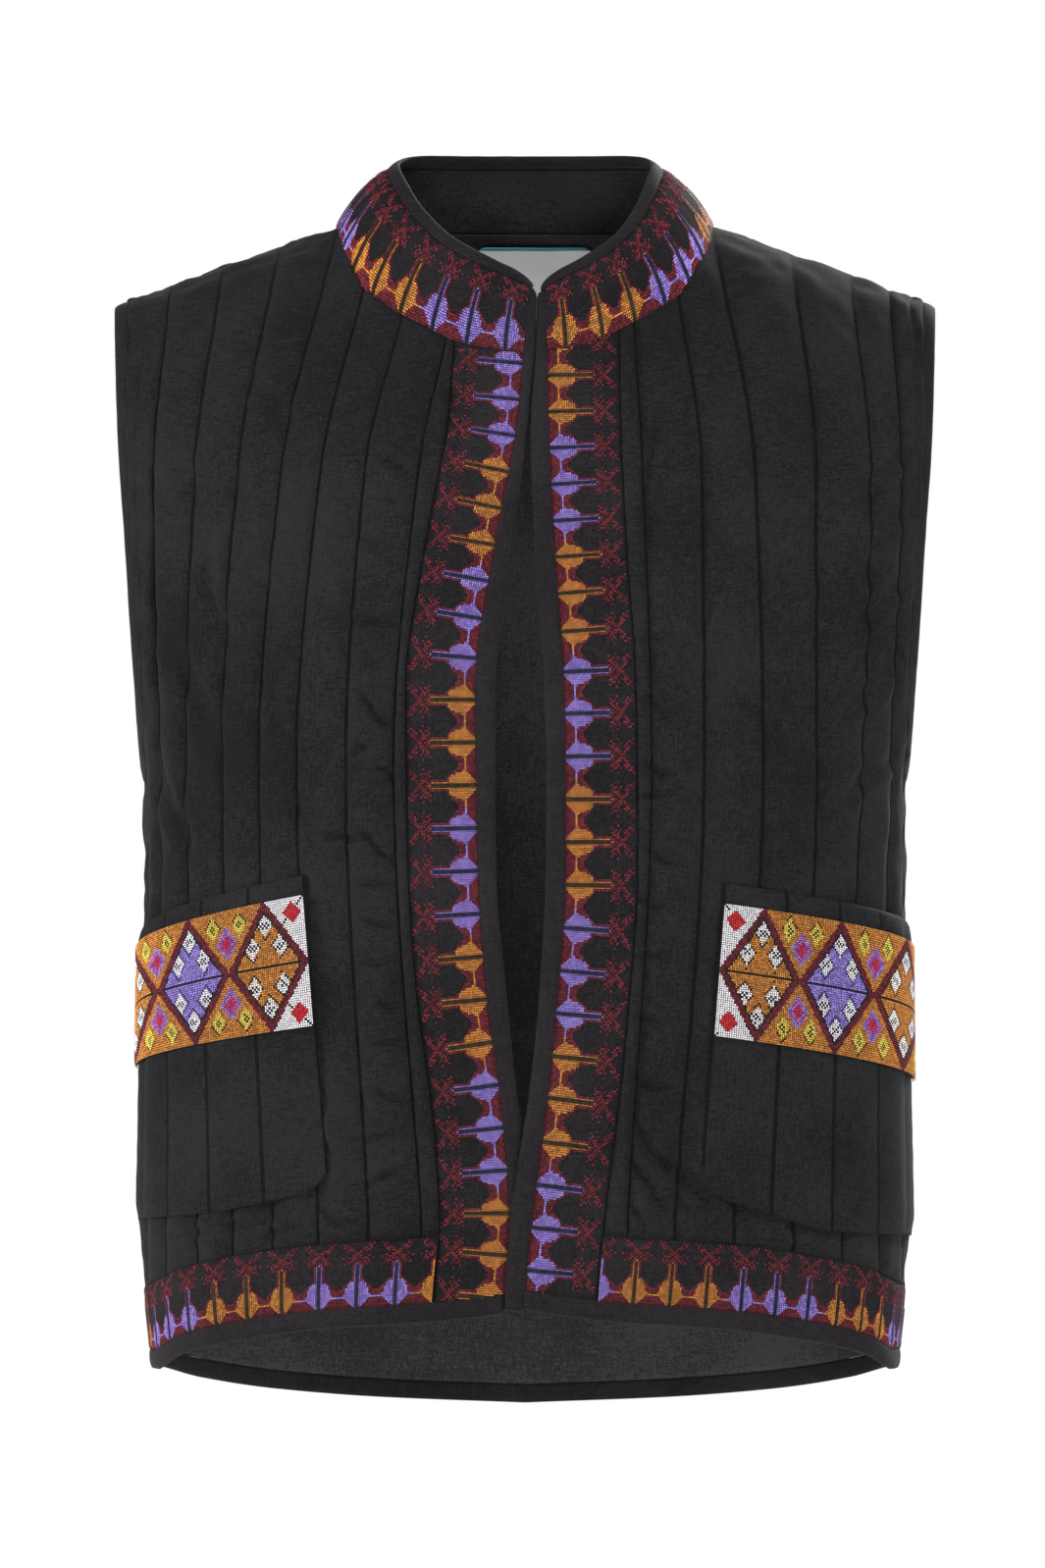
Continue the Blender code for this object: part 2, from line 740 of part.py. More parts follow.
def armhole_binding(side):
    ring = armhole_edge(side)
    count = len(ring)
    offsets = (
        (ARMHOLE_GAP, SEAM_WALL),
        (ARMHOLE_BINDING / 2, BINDING_WALL),
        (ARMHOLE_BINDING, BINDING_EDGE_WALL),
    )
    grid = []
    centre = sum((point for point, _ in ring), Vector()) / count
    for k in range(count + 1):
        point, normal = ring[k % count]
        along = ring[(k + 1) % count][0] - ring[(k - 1) % count][0]
        away = along.cross(normal).normalized()
        if away.dot(centre - point) < 0:
            away = -away
        grid.append([(point + away * offset, wall) for offset, wall in offsets])
    cloth(side_name("armhole_binding", side), grid, BLACK_BINDING, round_end=True)


def laid_point(side, angle, z, lift):
    """A point over the front panel, moved out past its fullest wall."""
    normal = outward_normal(FRONT, side, angle, z)
    return point_at(FRONT, side, angle, z) + normal * (wall_limit(angle) + LAID_GAP + lift)


def pocket(shape):
    """The patch pocket, whose outer edge is caught in the side seam, and the strip on it."""
    side = shape.side
    outer = math.radians(SEAM_CAUGHT_ANGLE)
    bottoms = (
        shape.bottom_inner + POCKET_CORNER_RISE,
        shape.bottom_inner - POCKET_CORNER_DROP,
        shape.bottom_middle,
        shape.bottom_outer,
    )

    def angle_for(across, z):
        down = (shape.top_inner - z) / (shape.top_inner - shape.bottom_inner)
        inner = angle_at(FRONT, mix(shape.top_x, shape.bottom_x, down), z)
        return mix(inner, outer, across)

    grid = []
    for line, share in channel_columns(POCKET_CHANNELS, False):
        across = (line + share) / POCKET_CHANNELS
        low = follow(POCKET_BOTTOM_SHARES, bottoms, across)
        high = mix(shape.top_inner, shape.top_outer, across)
        column = []
        for j in range(POCKET_ROWS + 1):
            z = mix(low, high, j / POCKET_ROWS)
            edge = j in (0, POCKET_ROWS) or across in (0.0, 1.0)
            wall = SEAM_WALL if edge else (POCKET_WALL if share > 0 else POCKET_STITCH_WALL)
            column.append((laid_point(side, angle_for(across, z), z, 0), wall))
        grid.append(column)
    cloth(side_name("pocket", side), grid, BLACK_COTTON)

    grid = []
    for i in range(STRIP_COLUMNS + 1):
        across = i / STRIP_COLUMNS
        low = mix(shape.strip_bottom_inner, shape.strip_bottom_outer, across)
        high = mix(shape.strip_top_inner, shape.strip_top_outer, across)
        column = []
        for j in range(STRIP_ROWS + 1):
            z = mix(low, high, j / STRIP_ROWS)
            point = laid_point(side, angle_for(across, z), z, POCKET_WALL + LAID_GAP)
            column.append((point, STRIP_WALL if 0 < j < STRIP_ROWS else SEAM_WALL))
        grid.append(column)
    cloth(side_name("pocket_strip", side), grid, POCKET_EMBROIDERY)


def neck_label(columns=6, rows=3):
    """A blank woven label on the inside of the back, below the collar seam."""
    grid = []
    for i in range(columns + 1):
        x = LABEL_CENTRE + mix(-LABEL_WIDTH / 2, LABEL_WIDTH / 2, i / columns)
        column = []
        for j in range(rows + 1):
            z = LABEL_TOP - LABEL_HEIGHT + LABEL_HEIGHT * j / rows
            side = LEFT if x >= 0 else RIGHT
            normal = outward_normal(BACK, side, angle_at(BACK, x, z), z)
            column.append((body_point(BACK, x, z) - normal * LABEL_GAP, LABEL_WALL))
        grid.append(column)
    cloth("neck_label", grid, LABEL_CLOTH, inward=True)


for old in list(bpy.data.objects):
    bpy.data.objects.remove(old)
BACK_PANEL = "back"
panels = {
    RIGHT: panel_grid(FRONT, RIGHT, FRONT_SIDE_ROWS),
    LEFT: panel_grid(FRONT, LEFT, FRONT_SIDE_ROWS),
    BACK_PANEL: panel_grid(BACK, LEFT, BACK_SIDE_ROWS),
}
waistcoat = bpy.data.collections.new("quilted_waistcoat")
bpy.context.scene.collection.children.link(waistcoat)

back_panel()
for wearer_side in (RIGHT, LEFT):
    front_panel(wearer_side)
    front_band(wearer_side)
    front_binding(wearer_side)
    hem_pieces(wearer_side)
    armhole_binding(wearer_side)
collar()
for pocket_shape in POCKETS:
    pocket(pocket_shape)
neck_label()
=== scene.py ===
import math

import bpy
import numpy as np
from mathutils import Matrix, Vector, noise


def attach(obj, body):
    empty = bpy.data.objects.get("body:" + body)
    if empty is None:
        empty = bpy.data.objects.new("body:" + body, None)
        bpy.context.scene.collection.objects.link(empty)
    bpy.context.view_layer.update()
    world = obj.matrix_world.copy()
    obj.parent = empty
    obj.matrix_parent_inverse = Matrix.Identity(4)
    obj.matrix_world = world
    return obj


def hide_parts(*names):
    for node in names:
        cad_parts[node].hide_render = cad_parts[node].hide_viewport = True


# A quilted black waistcoat with cross-stitched bands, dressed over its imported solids.
# Shapes are worked out in millimetres, as in the part's own source: +Z is up, the front
# faces -Y, and the wearer's left side is at +X. Meshes are in metres.

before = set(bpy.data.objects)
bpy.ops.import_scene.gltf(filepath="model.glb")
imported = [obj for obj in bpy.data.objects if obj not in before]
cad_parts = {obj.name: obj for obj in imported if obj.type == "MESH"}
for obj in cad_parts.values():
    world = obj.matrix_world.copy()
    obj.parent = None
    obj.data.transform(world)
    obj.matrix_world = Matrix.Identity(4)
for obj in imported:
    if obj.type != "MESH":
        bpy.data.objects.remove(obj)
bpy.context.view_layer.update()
for node in bpy.context.selected_objects:
    node.select_set(False)
print("frame loaded")

left, right, front, back = 1, -1, -1, 1
sides = ((right, "Right", "right"), (left, "Left", "left"))
metres = 0.001

# the body of the garment, as measured in the part's source
body = {
    "roundness": 2.6,
    "shoulderHeight": 4.0,
    "shoulderSlope": 0.365,
    "shoulderSoftness": 28.0,
    "neckHalf": 95.0,
    "roll": {front: 170.0, back: 112.0},
    "armholeReach": {front: 72.0, back: 66.0},
    "armholeWidest": -208.0,
    "armholeBottom": -277.0,
    "openingShift": 5.5,
    "seamGap": 0.5,
    "seamLap": 0.4,  # how far the back reaches under a front's edge
    "above": 50.0,  # a height over all the panels
    "edgeFoot": -547.0,
    "edgeTop": -60.0,
    "lap": 4.4,  # how high the left front lies over the right one
    "lapStart": -425.0,
    "lapFull": -455.0,
    "lapHold": 12.0,  # how wide it lies so high, and then fades
    "lapFade": 40.0,
    "lapEdge": 1.5,
}

# height, half width, depth of the front, depth of the back
sections = [
    (-30, 204.0, 116, 110), (-100, 202.5, 122, 118), (-150, 199.5, 127, 120), (-200, 196.5, 130, 120),
    (-240, 194.0, 131, 119), (-277, 193.0, 131, 118), (-350, 193.0, 130, 116), (-450, 194.0, 130, 116),
    (-500, 195.0, 131, 117), (-535, 193.0, 131, 117), (-565, 190.0, 130, 116), (-600, 187.5, 129, 115),
]
# distance from the centre, height
frontNeck = [(0, -60), (31, -55), (54, -44.5), (68, -37), (82, -26.5), (91, -12.5), (95, 4.0)]
backNeck = 4.0
# share of the way from the centre to the side, height
frontHem = [(0.0, -547), (0.1, -550.5), (0.28, -554), (0.57, -558), (0.8, -564.5), (0.93, -571), (1.0, -579)]
backHem = [(0.0, -599), (0.4, -596), (0.69, -591.5), (0.9, -585), (1.0, -579)]
# height, then x of the right band, right edge, left edge and left band
frontEdges = [
    (-60, 0.0, 4.7, 5.3, 10.6), (-95, -3.0, 1.2, 2.8, 11.2), (-160, -15.0, -6.0, 5.0, 14.5),
    (-230, -24.5, -15.0, 10.0, 19.2), (-280, -24.0, -15.0, 11.0, 20.0), (-327, -23.0, -14.5, 10.5, 20.0),
    (-390, -18.5, -9.0, 7.0, 15.8), (-434, -12.5, -4.5, 2.5, 11.5), (-470, -8.8, 0.5, -3.0, 7.0),
    (-500, -7.2, 2.0, -7.0, 3.2), (-548, -10.5, -1.0, -10.2, -1.2), (-590, -12.0, -2.5, -12.0, -3.0),
]
bandWidth = {right: 36.0, left: 36.8}
# quilting lines: distance from the centre at the top, chest, waist and hem
quilting = {
    (front, right): [
        (39.5, 54, 66.5, 52.5), (62.5, 81.5, 91, 79.5), (82, 104, 116, 105), (95, 124, 135, 128),
        (125, 146, 153.5, 148), (154, 168, 171.5, 166), (181, 189, 185, 182), (193, 196.5, 191.5, 191.5),
    ],
    (front, left): [
        (55, 59.5, 64, 52), (78, 90, 91, 76), (95, 117, 121, 106), (136, 148, 148, 136),
        (166, 176, 171, 161), (186, 191.5, 185.5, 180), (196, 197.5, 191.7, 191.5),
    ],
    (back, left): [
        (24, 26, 27.5, 27.5), (48, 52, 55, 55), (72, 77, 82, 82), (95, 101, 107, 107), (120, 125, 130, 130),
        (145, 148, 151, 151), (169, 170, 169, 169), (186, 187, 182.5, 182.5), (197, 196.5, 190.8, 190.8),
    ],
}
quiltLevels = (-500.0, -270.0, -120.0)
# angle round the neck from the front, height of the collar's top
collarTops = [
    (0, -30), (7, -20), (20, -12), (40, 0), (60, 17), (75, 29), (90, 35), (125, 37), (180, 37),
]
# sizes, and the heights at which a hem and its strips are measured
hem = {"binding": 9.0, "band": 33.5, "widthAt": -570.0, "reachAt": -530.0, "innerAt": (-510.0, -505.0)}


def column(table, which):
    return [row[which] for row in table]


def smoothCurve(places, values):
    # a curve through the values that never swings past them
    places, values = np.array(places, float), np.array(values, float)
    if places[0] > places[-1]:
        places, values = places[::-1], values[::-1]
    spans = np.diff(places)
    slopes = np.diff(values) / spans
    leans = np.concatenate(([slopes[0]], np.zeros(len(spans) - 1), [slopes[-1]]))
    for k in range(1, len(spans)):
        before, after = slopes[k - 1], slopes[k]
        if before * after > 0:
            leans[k] = 2 * before * after / (before + after)

    def read(where):
        where = np.clip(where, places[0], places[-1])
        i = np.clip(np.searchsorted(places, where, side="right") - 1, 0, len(spans) - 1)
        t = (where - places[i]) / spans[i]
        rise, start, end = values[i + 1] - values[i], leans[i] * spans[i], leans[i + 1] * spans[i]
        bend, twist = 3 * rise - 2 * start - end, start + end - 2 * rise
        return values[i] + t * start + t * t * bend + t**3 * twist

    return read


def ease(value):
    value = np.clip(value, 0, 1)
    return value * value * (3 - 2 * value)


def mix(a, b, share):
    return a + (b - a) * share


def tableCurve(table, which=1):
    return smoothCurve(column(table, 0), column(table, which))


halfWidth = tableCurve(sections)
sectionDepth = {front: tableCurve(sections, 2), back: tableCurve(sections, 3)}
neckCurve = tableCurve(frontNeck)
hemCurve = {front: tableCurve(frontHem), back: tableCurve(backHem)}
collarTopHeight = tableCurve(collarTops)
# 0 is a front's edge, and 1 the seam between its binding and its band
edgeCurve = {
    (right, 1): tableCurve(frontEdges, 1),
    (right, 0): tableCurve(frontEdges, 2),
    (left, 0): tableCurve(frontEdges, 3),
    (left, 1): tableCurve(frontEdges, 4),
}


def shoulderHeight(x):
    soft = body["shoulderSoftness"]
    reach = np.hypot(x, soft) - math.hypot(body["neckHalf"], soft)
    return body["shoulderHeight"] - body["shoulderSlope"] * reach


shoulderTip = float(shoulderHeight(halfWidth(sections[0][0])))


def topHeight(face, x):
    neck = (neckCurve(np.abs(x)) if face == front else backNeck) - body["seamGap"]
    return np.where(np.abs(x) < body["neckHalf"], neck, shoulderHeight(x))


def sectionReach(face, z):
    # the half width of the whole rounded section, of which an armhole takes the end
    low = (body["armholeWidest"] - z) / (body["armholeWidest"] - body["armholeBottom"])
    cut = body["armholeReach"][face] * np.sqrt(np.clip(1 - np.maximum(low, 0) ** 2, 0, 1))
    power = body["roundness"]
    return halfWidth(z) / (1 - (cut / sectionDepth[face](z)) ** power) ** (1 / power)


def frontLap(x, z):
    # the left front's edge lies over the right one near the hem
    edge = edgeCurve[(left, 0)](z)
    down = ease((body["lapStart"] - z) / (body["lapStart"] - body["lapFull"]))
    lift = body["lap"] * down * (1 - ease((x - edge - body["lapHold"]) / body["lapFade"]))
    return np.where(x < edge - body["seamGap"] - body["lapEdge"], 0, lift)


def bodyPoint(face, x, z, side=0):
    # a point of the lining's inside at a place in the front view
    x, z = np.broadcast_arrays(np.asarray(x, float), np.asarray(z, float))
    power = body["roundness"]
    across = np.minimum(np.abs(x) / sectionReach(face, z), 1)
    depth = sectionDepth[face](z) * (1 - across**power) ** (1 / power)
    below = np.clip((shoulderHeight(x) - z) / body["roll"][face], 0, 1)
    depth = depth * np.sqrt(1 - (1 - below) ** 2)
    if face == front and side == left:
        depth = depth + frontLap(x, z)
    return np.stack([x, face * depth, z], -1)


def pointAt(face, side, angle, z):
    return bodyPoint(face, side * sectionReach(face, z) * np.sin(angle), z, side)


def angleAt(face, x, z):
    return np.arcsin(np.clip(np.abs(x) / sectionReach(face, z), 0, 1))


def unit(vectors):
    return vectors / np.maximum(np.linalg.norm(vectors, axis=-1, keepdims=True), 1e-9)


def turnTo(normals, towards):
    # each direction, reversed where it points the other way
    return normals * np.sign((normals * towards).sum(-1, keepdims=True) + 1e-9)


def turnOut(normals, points):
    # all the directions, reversed where they point to the garment's middle
    return -normals if (normals * points * (1, 1, 0)).sum() < 0 else normals


def gridNormals(points):
    return turnOut(unit(np.cross(np.gradient(points, axis=0), np.gradient(points, axis=1))), points)


def placeNormals(face, x, z, side=0):
    step = 0.8
    across = bodyPoint(face, x + step, z, side) - bodyPoint(face, x - step, z, side)
    along = bodyPoint(face, x, z + step, side) - bodyPoint(face, x, z - step, side)
    return turnTo(unit(np.cross(across, along)), bodyPoint(face, x, z))


def runLength(points):
    # the length along a line of points, from its start to each of them
    steps = np.linalg.norm(np.diff(points, axis=0), axis=1)
    return np.concatenate(([0], np.cumsum(steps)))


def evenHeights(curve, low, high, count, samples=400):
    # heights that divide a curve into equal lengths
    z = mix(low, high, 0.5 - 0.5 * np.cos(np.pi * np.arange(samples + 1) / samples))
    run = runLength(curve(z))
    return np.interp(np.linspace(0, run[-1], count + 1), run, z)


def armholeHeights(face, count):
    return evenHeights(lambda z: bodyPoint(face, halfWidth(z), z), body["armholeBottom"], shoulderTip, count)


def unevenness(points, scale, seed):
    # smooth noise at each point, from -1 to 1; scale is the size of a lump in millimetres
    spread = np.asarray(points, float).reshape(-1, 3) / np.asarray(scale, float) + seed * 17.3
    return np.array([noise.noise(Vector(place)) for place in spread]).reshape(points.shape[:-1])


def ruffle(points, kind):
    depth, scale, seed = kind
    return depth * unevenness(points, scale, seed)


def quiltPlace(face, line, z):
    top, chest, waist, foot = line
    low = quiltLevels[1]
    scale = np.where((z < low) & (face == back), halfWidth(z) / halfWidth(low), 1.0)
    levels = (*quiltLevels, float(topHeight(face, top)))
    return scale * smoothCurve(levels, (foot, waist, chest, top))(z)


def bandSeam(side, z):
    return side * edgeCurve[(side, 1)](z) + bandWidth[side]


def hemHeight(face, x):
    return hemCurve[face](np.abs(x) / halfWidth(hem["widthAt"]))


def underPanel(face):
    # the height of the binding and the band below a panel, with their seams
    return hem["binding"] + body["seamGap"] + (hem["band"] + body["seamGap"] if face == front else 0)


def planOf(across, along):
    return np.stack(np.broadcast_arrays(across, along), -1)


# Finishes. A wire is a socket that can stand in a sum: each operator adds its Math node.
class Wire:
    def __init__(self, tree, socket=None):
        self.tree, self.socket = tree, socket

    def node(self, kind, settings, values, result=0):
        made = self.tree.nodes.new(kind)
        for name, value in settings.items():
            setattr(made, name, value)
        for name, value in values.items():
            if isinstance(value, Wire):
                self.tree.links.new(value.socket, made.inputs[name])
            else:
                made.inputs[name].default_value = value
        return Wire(self.tree, made.outputs[result])

    def sum(self, operation, first, second=0.0):
        return self.node("ShaderNodeMath", {"operation": operation}, {0: first, 1: second})

    def __add__(self, other):
        return self.sum("ADD", self, other)

    def __sub__(self, other):
        return self.sum("SUBTRACT", self, other)

    def __mul__(self, other):
        return self.sum("MULTIPLY", self, other)

    def __gt__(self, other):
        return self.sum("GREATER_THAN", self, other)

    def __lt__(self, other):
        return self.sum("LESS_THAN", self, other)

    def fraction(self):
        return self.sum("FRACT", self)

    def size(self):
        return self.sum("ABSOLUTE", self)

    def output(self, which):
        # another output of the same node
        return Wire(self.tree, self.socket.node.outputs[which])

    def blend(self, low, high):
        # a colour between two others, by this share
        return self.node("ShaderNodeMix", {"data_type": "RGBA"}, {0: self, 6: low, 7: high}, 2)


def newMaterial(name, roughness, sheen, specular, colour):
    made = bpy.data.materials.new(name)
    made.use_nodes = True
    made.diffuse_color = (*colour, 1)
    shader = made.node_tree.nodes["Principled BSDF"]
    values = {"Base Color": (*colour, 1), "Roughness": roughness, "Sheen Weight": sheen,
              "Sheen Roughness": 0.5, "Specular IOR Level": specular}
    for key, value in values.items():
        shader.inputs[key].default_value = value
    return made, shader, Wire(made.node_tree)


def wireUp(made, shader, colour, height, strength, relief):
    bump = colour.node("ShaderNodeBump", {}, {"Strength": strength, "Distance": relief, "Height": height})
    made.node_tree.links.new(colour.socket, shader.inputs["Base Color"])
    made.node_tree.links.new(bump.socket, shader.inputs["Normal"])
    return made


# How the yarns and the quilting's stitches show in a cloth's finish, with painted shade in the quilting
# lines' grooves
weaveLook = {
    "fibreScale": 900.0,
    "cloudScale": 14.0,
    "yarnScale": 1400.0,
    "yarnStretch": 0.12,
    "fibreShade": 3.0,
    "cloudShade": 2.6,
    "yarnShade": 3.4,
    "fibreHeight": 0.4,
    "lineHalf": 0.8,  # half the width of a quilting line, in millimetres
    "lineShade": (2.2, 0.8),  # how unevenly and how strongly a line is darkened: its dark stitches and the painted shade of its groove
    "lineDepth": 1.4,
    "stitchShare": 0.68,  # how much of a stitch shows
    "stitchHeight": 1.6,
    "relief": 0.0002,  # metres
}


def clothMaterial(name, look):
    # plain-woven cotton: the plan counts quilting lines across, and millimetres along them
    made, shader, start = newMaterial(name, look["roughness"], look["sheen"], look["specular"], look["dark"])
    place = start.node("ShaderNodeTexCoord", {}, {}, 3)
    across = start.node("ShaderNodeSeparateXYZ", {}, {"Vector": start.node("ShaderNodeUVMap", {}, {})})
    along = across.output(1)

    def grain(scale, detail, where):
        return start.node("ShaderNodeTexNoise", {"noise_dimensions": "3D"},
                          {"Vector": where, "Scale": scale, "Detail": detail})

    def yarns(stretch):
        where = start.node("ShaderNodeMapping", {}, {"Vector": place, "Scale": stretch})
        return grain(weaveLook["yarnScale"], 1.0, where)

    fibres, cloudy = grain(weaveLook["fibreScale"], 2.0, place), grain(weaveLook["cloudScale"], 3.0, place)
    thin = weaveLook["yarnStretch"]
    weave = yarns((1.0, 1.0, thin)) * 0.5 + yarns((thin, thin, 1.0)) * 0.5
    shade = ((cloudy - 0.5) * weaveLook["cloudShade"] + (fibres - 0.5) * weaveLook["fibreShade"]
             + (weave - 0.5) * weaveLook["yarnShade"] + 0.5)
    colour = shade.blend((*look["dark"], 1), (*look["light"], 1))
    height = weave + fibres * weaveLook["fibreHeight"]
    if look["stitch"]:
        off = ((across + 0.5).fraction() - 0.5).size() * look["lineSpacing"]
        onLine = off < weaveLook["lineHalf"]
        dash = (along * (1 / look["stitch"])).fraction() < weaveLook["stitchShare"]
        # a quilting line's colour: its dark stitches, with painted shade of its groove over them
        uneven, strong = weaveLook["lineShade"]
        colour = (onLine * ((fibres - 0.5) * uneven + strong)).blend(colour, (*look["seam"], 1))
        height = height + onLine * dash * weaveLook["stitchHeight"] - onLine * weaveLook["lineDepth"]
    return wireUp(made, shader, colour, height, look["bump"], weaveLook["relief"])


# what a cloth has unless its own look says otherwise
plainCloth = {
    # the colour of a quilting line: its dark stitches and the painted shade of its groove
    "seam": (0.003, 0.003, 0.003),
    "roughness": 0.88,
    "sheen": 0.01,
    "specular": 0.08,
    "bump": 0.6,
    "stitch": 0,  # length of the quilting's stitches, in millimetres
    "lineSpacing": 24.0,
}
clothLooks = {
    "blackCotton": {
        "dark": (0.0048, 0.0047, 0.0053), "light": (0.0128, 0.0125, 0.0136), "seam": (0.0012, 0.0012, 0.0012),
        "roughness": 0.85, "sheen": 0.015, "specular": 0.09, "bump": 0.7, "stitch": 3.2,
    },
    # the lining's colour is painted lighter than the outer cotton's: painted light that stands in for the
    # light reaching inside the garment
    "liningWithPaintedLight": {"dark": (0.0195, 0.0172, 0.0200), "light": (0.0420, 0.0380, 0.0424), "sheen": 0.015},
    "collarLining": {
        "dark": (0.0075, 0.0070, 0.0078), "light": (0.0200, 0.0188, 0.0205), "seam": (0.002, 0.002, 0.002),
        "stitch": 3.0, "lineSpacing": 37.0,
    },
    "blackBinding": {
        "dark": (0.0058, 0.0050, 0.0058), "light": (0.0135, 0.0116, 0.0132),
        "roughness": 0.8, "sheen": 0.02, "specular": 0.1,
    },
    "blackGround": {"dark": (0.0060, 0.0054, 0.0060), "light": (0.0140, 0.0125, 0.0138), "bump": 0.7},
}
cloths = {name: clothMaterial(name, {**plainCloth, **look}) for name, look in clothLooks.items()}

# thread: a main shade and the lighter one of the strands that catch the light
threadLooks = {
    "violet": ((0.20, 0.130, 0.47), (0.37, 0.27, 0.74)),
    "mustard": ((0.37, 0.140, 0.022), (0.68, 0.265, 0.048)),
    "maroon": ((0.080, 0.006, 0.011), (0.200, 0.017, 0.030)),
    "navy": ((0.004, 0.004, 0.014), (0.009, 0.008, 0.026)),
    "brown": ((0.010, 0.005, 0.002), (0.020, 0.010, 0.004)),
    "yellow": ((0.60, 0.48, 0.06), (0.80, 0.68, 0.12)),
    "white": ((0.74, 0.71, 0.74), (0.90, 0.88, 0.90)),
    "magenta": ((0.36, 0.022, 0.12), (0.56, 0.05, 0.20)),
    "red": ((0.46, 0.012, 0.02), (0.62, 0.03, 0.04)),
}
threadFinish = (0.62, 0.05, 0.12)  # roughness, sheen, specular
threads = {
    name: [newMaterial(f"{name}Thread{k}", *threadFinish, shade)[0] for k, shade in enumerate(shades)]
    for name, shades in threadLooks.items()
}
print("finishes made")


def quads(columns, rows, first, closed):
    # the four corners of each face of a grid of points
    i, j = np.meshgrid(np.arange(columns if closed else columns - 1), np.arange(rows - 1), indexing="ij")
    after = (i + 1) % columns
    corners = np.stack([i * rows + j, after * rows + j, after * rows + j + 1, i * rows + j + 1], -1)
    return corners.reshape(-1, 4) + first


def rimQuads(columns, rows, closed):
    # the faces that join the outer grid to the inner one all round its border
    size = columns * rows
    runs = [np.arange(columns) * rows, np.arange(columns) * rows + rows - 1]
    if not closed:
        runs += [np.arange(rows), (columns - 1) * rows + np.arange(rows)]
    faces = []
    for number, run in enumerate(runs):
        after = np.roll(run, -1) if closed else run[1:]
        before = run if closed else run[:-1]
        face = np.stack([before, after, after + size, before + size], -1)
        faces.append(face[:, ::-1] if number in (0, 3) else face)
    return np.concatenate(faces)


def addMesh(name, points, faces, finishes, which):
    mesh = bpy.data.meshes.new(name)
    mesh.from_pydata((points * metres).tolist(), [], faces.tolist())
    for finish in finishes:
        mesh.materials.append(finish)
    mesh.polygons.foreach_set("material_index", which.astype(np.int32))
    mesh.shade_smooth()
    piece = bpy.data.objects.new(name, mesh)
    bpy.context.scene.collection.objects.link(piece)
    return piece


def makeSheet(name, outer, inner, plan, outerCloth, innerCloth=None, closed=False):
    # cloth with a real thickness: an outer and an inner grid of points, in millimetres, and its rim
    columns, rows = outer.shape[:2]
    points = np.concatenate([outer.reshape(-1, 3), inner.reshape(-1, 3)])
    top = quads(columns, rows, 0, closed)
    corner = points[top]
    facing = np.cross(corner[:, 1] - corner[:, 0], corner[:, 2] - corner[:, 0])
    through = (points[: len(points) // 2] - points[len(points) // 2:])[top[:, 0]]
    under = quads(columns, rows, columns * rows, closed)[:, ::-1]
    faces = np.concatenate([top, under, rimQuads(columns, rows, closed)])
    if (facing * through).sum() < 0:
        faces = faces[:, ::-1]
    which = np.zeros(len(faces))
    which[len(top): 2 * len(top)] = 1
    piece = addMesh(name, points, faces, [outerCloth, innerCloth or outerCloth], which)
    twice = np.concatenate([plan.reshape(-1, 2)] * 2)
    layer = piece.data.uv_layers.new(name="clothPlan")
    layer.uv.foreach_set("vector", twice[faces.ravel()].astype(np.float32).ravel())
    return piece


def cutOf(points, every=4):
    # the flat size of a piece: its longest width and length, and its area
    width = max(float(runLength(points[:, j])[-1]) for j in range(0, points.shape[1], every)) * metres
    length = max(float(runLength(points[i])[-1]) for i in range(0, points.shape[0], every)) * metres
    a, b = points[1:, 1:] - points[:-1, :-1], points[1:, :-1] - points[:-1, 1:]
    area = float(np.linalg.norm(np.cross(a, b), axis=-1).sum() / 2) * metres**2
    return (round(width, 4), round(length, 4)), round(min(area, width * length), 5)


def declare(piece, node, points, restsOn=()):
    # the piece stands for its solid, which it hides; the size its cloth was cut to is worked out but not kept
    flat, area = cutOf(points)
    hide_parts(node)
    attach(piece, "root")


def layCloth(name, node, slot, cloth, points, wall, plan, restsOn, lining="liningWithPaintedLight", lift=0.1):
    # a sheet from its thickness at each place of its underside, which is a little off the lining
    normals = gridNormals(points)
    piece = makeSheet(name, points + normals * wall[..., None], points + normals * lift, plan,
                      cloths[cloth], cloths[lining])
    declare(piece, node, points, restsOn)


# Quilted panels. The wall is thin along a stitched line and full between two of them.
panelLook = {
    "stitchWall": 1.0,  # thickness at a stitched line
    "crown": 4.1,  # thickness between two lines
    "seamWall": 1.5,  # thickness at the edges
    "thinnest": 0.8,
    "fullest": 2.6,  # how far a fold may stand over the crown
    "channelShape": 3.2,
    "perChannel": 10,
    "sideRows": 102,
    "armholeRows": 126,
    "sway": (0.05, 2.4),  # how much the channels' fullness varies, and how fast
    "lastLine": 0.9,  # how full the last line is once it has ended
    "fullness": (0.16, (26, 40, 46), 3),  # unevenness: its depth, a lump's size, and the seed
    "pucker": (0.5, 5.5, 8),  # small ripples square to the stitching
    "lump": (1.5, (11, 11, 19), 21),
    "sag": (1.3, (34, 34, 12), 47),  # slow unevenness that runs across the channels
    "creaseDepth": 3.3,
    "creaseWidth": 0.8,
    "flatShoulder": 0.15,  # how much of the fullness the shoulder seams press flat
    "fullShoulder": 0.6,  # how far they pull the stitched lines out
    "flatBelow": 38.0,
    "pressed": 5.0,  # how far from the hem and the shoulder the wall is full
    "fading": 25.0,  # how far over the armhole's foot the last line ends
    "thinFrom": 72.0,  # the angle from which the cloth thins to half at the side
    "gather": 0.55,  # how much closer the columns stand beside a stitched line
}

# A crease is a trough with a ridge on each side
creaseLook = {
    "ridges": ((0.75, 1.5), (0.45, -1.6)),  # height, and place in half widths
    "wander": (0.6, 5.2),  # how far and how fast it strays from a straight line
    "ends": 0.25,
}
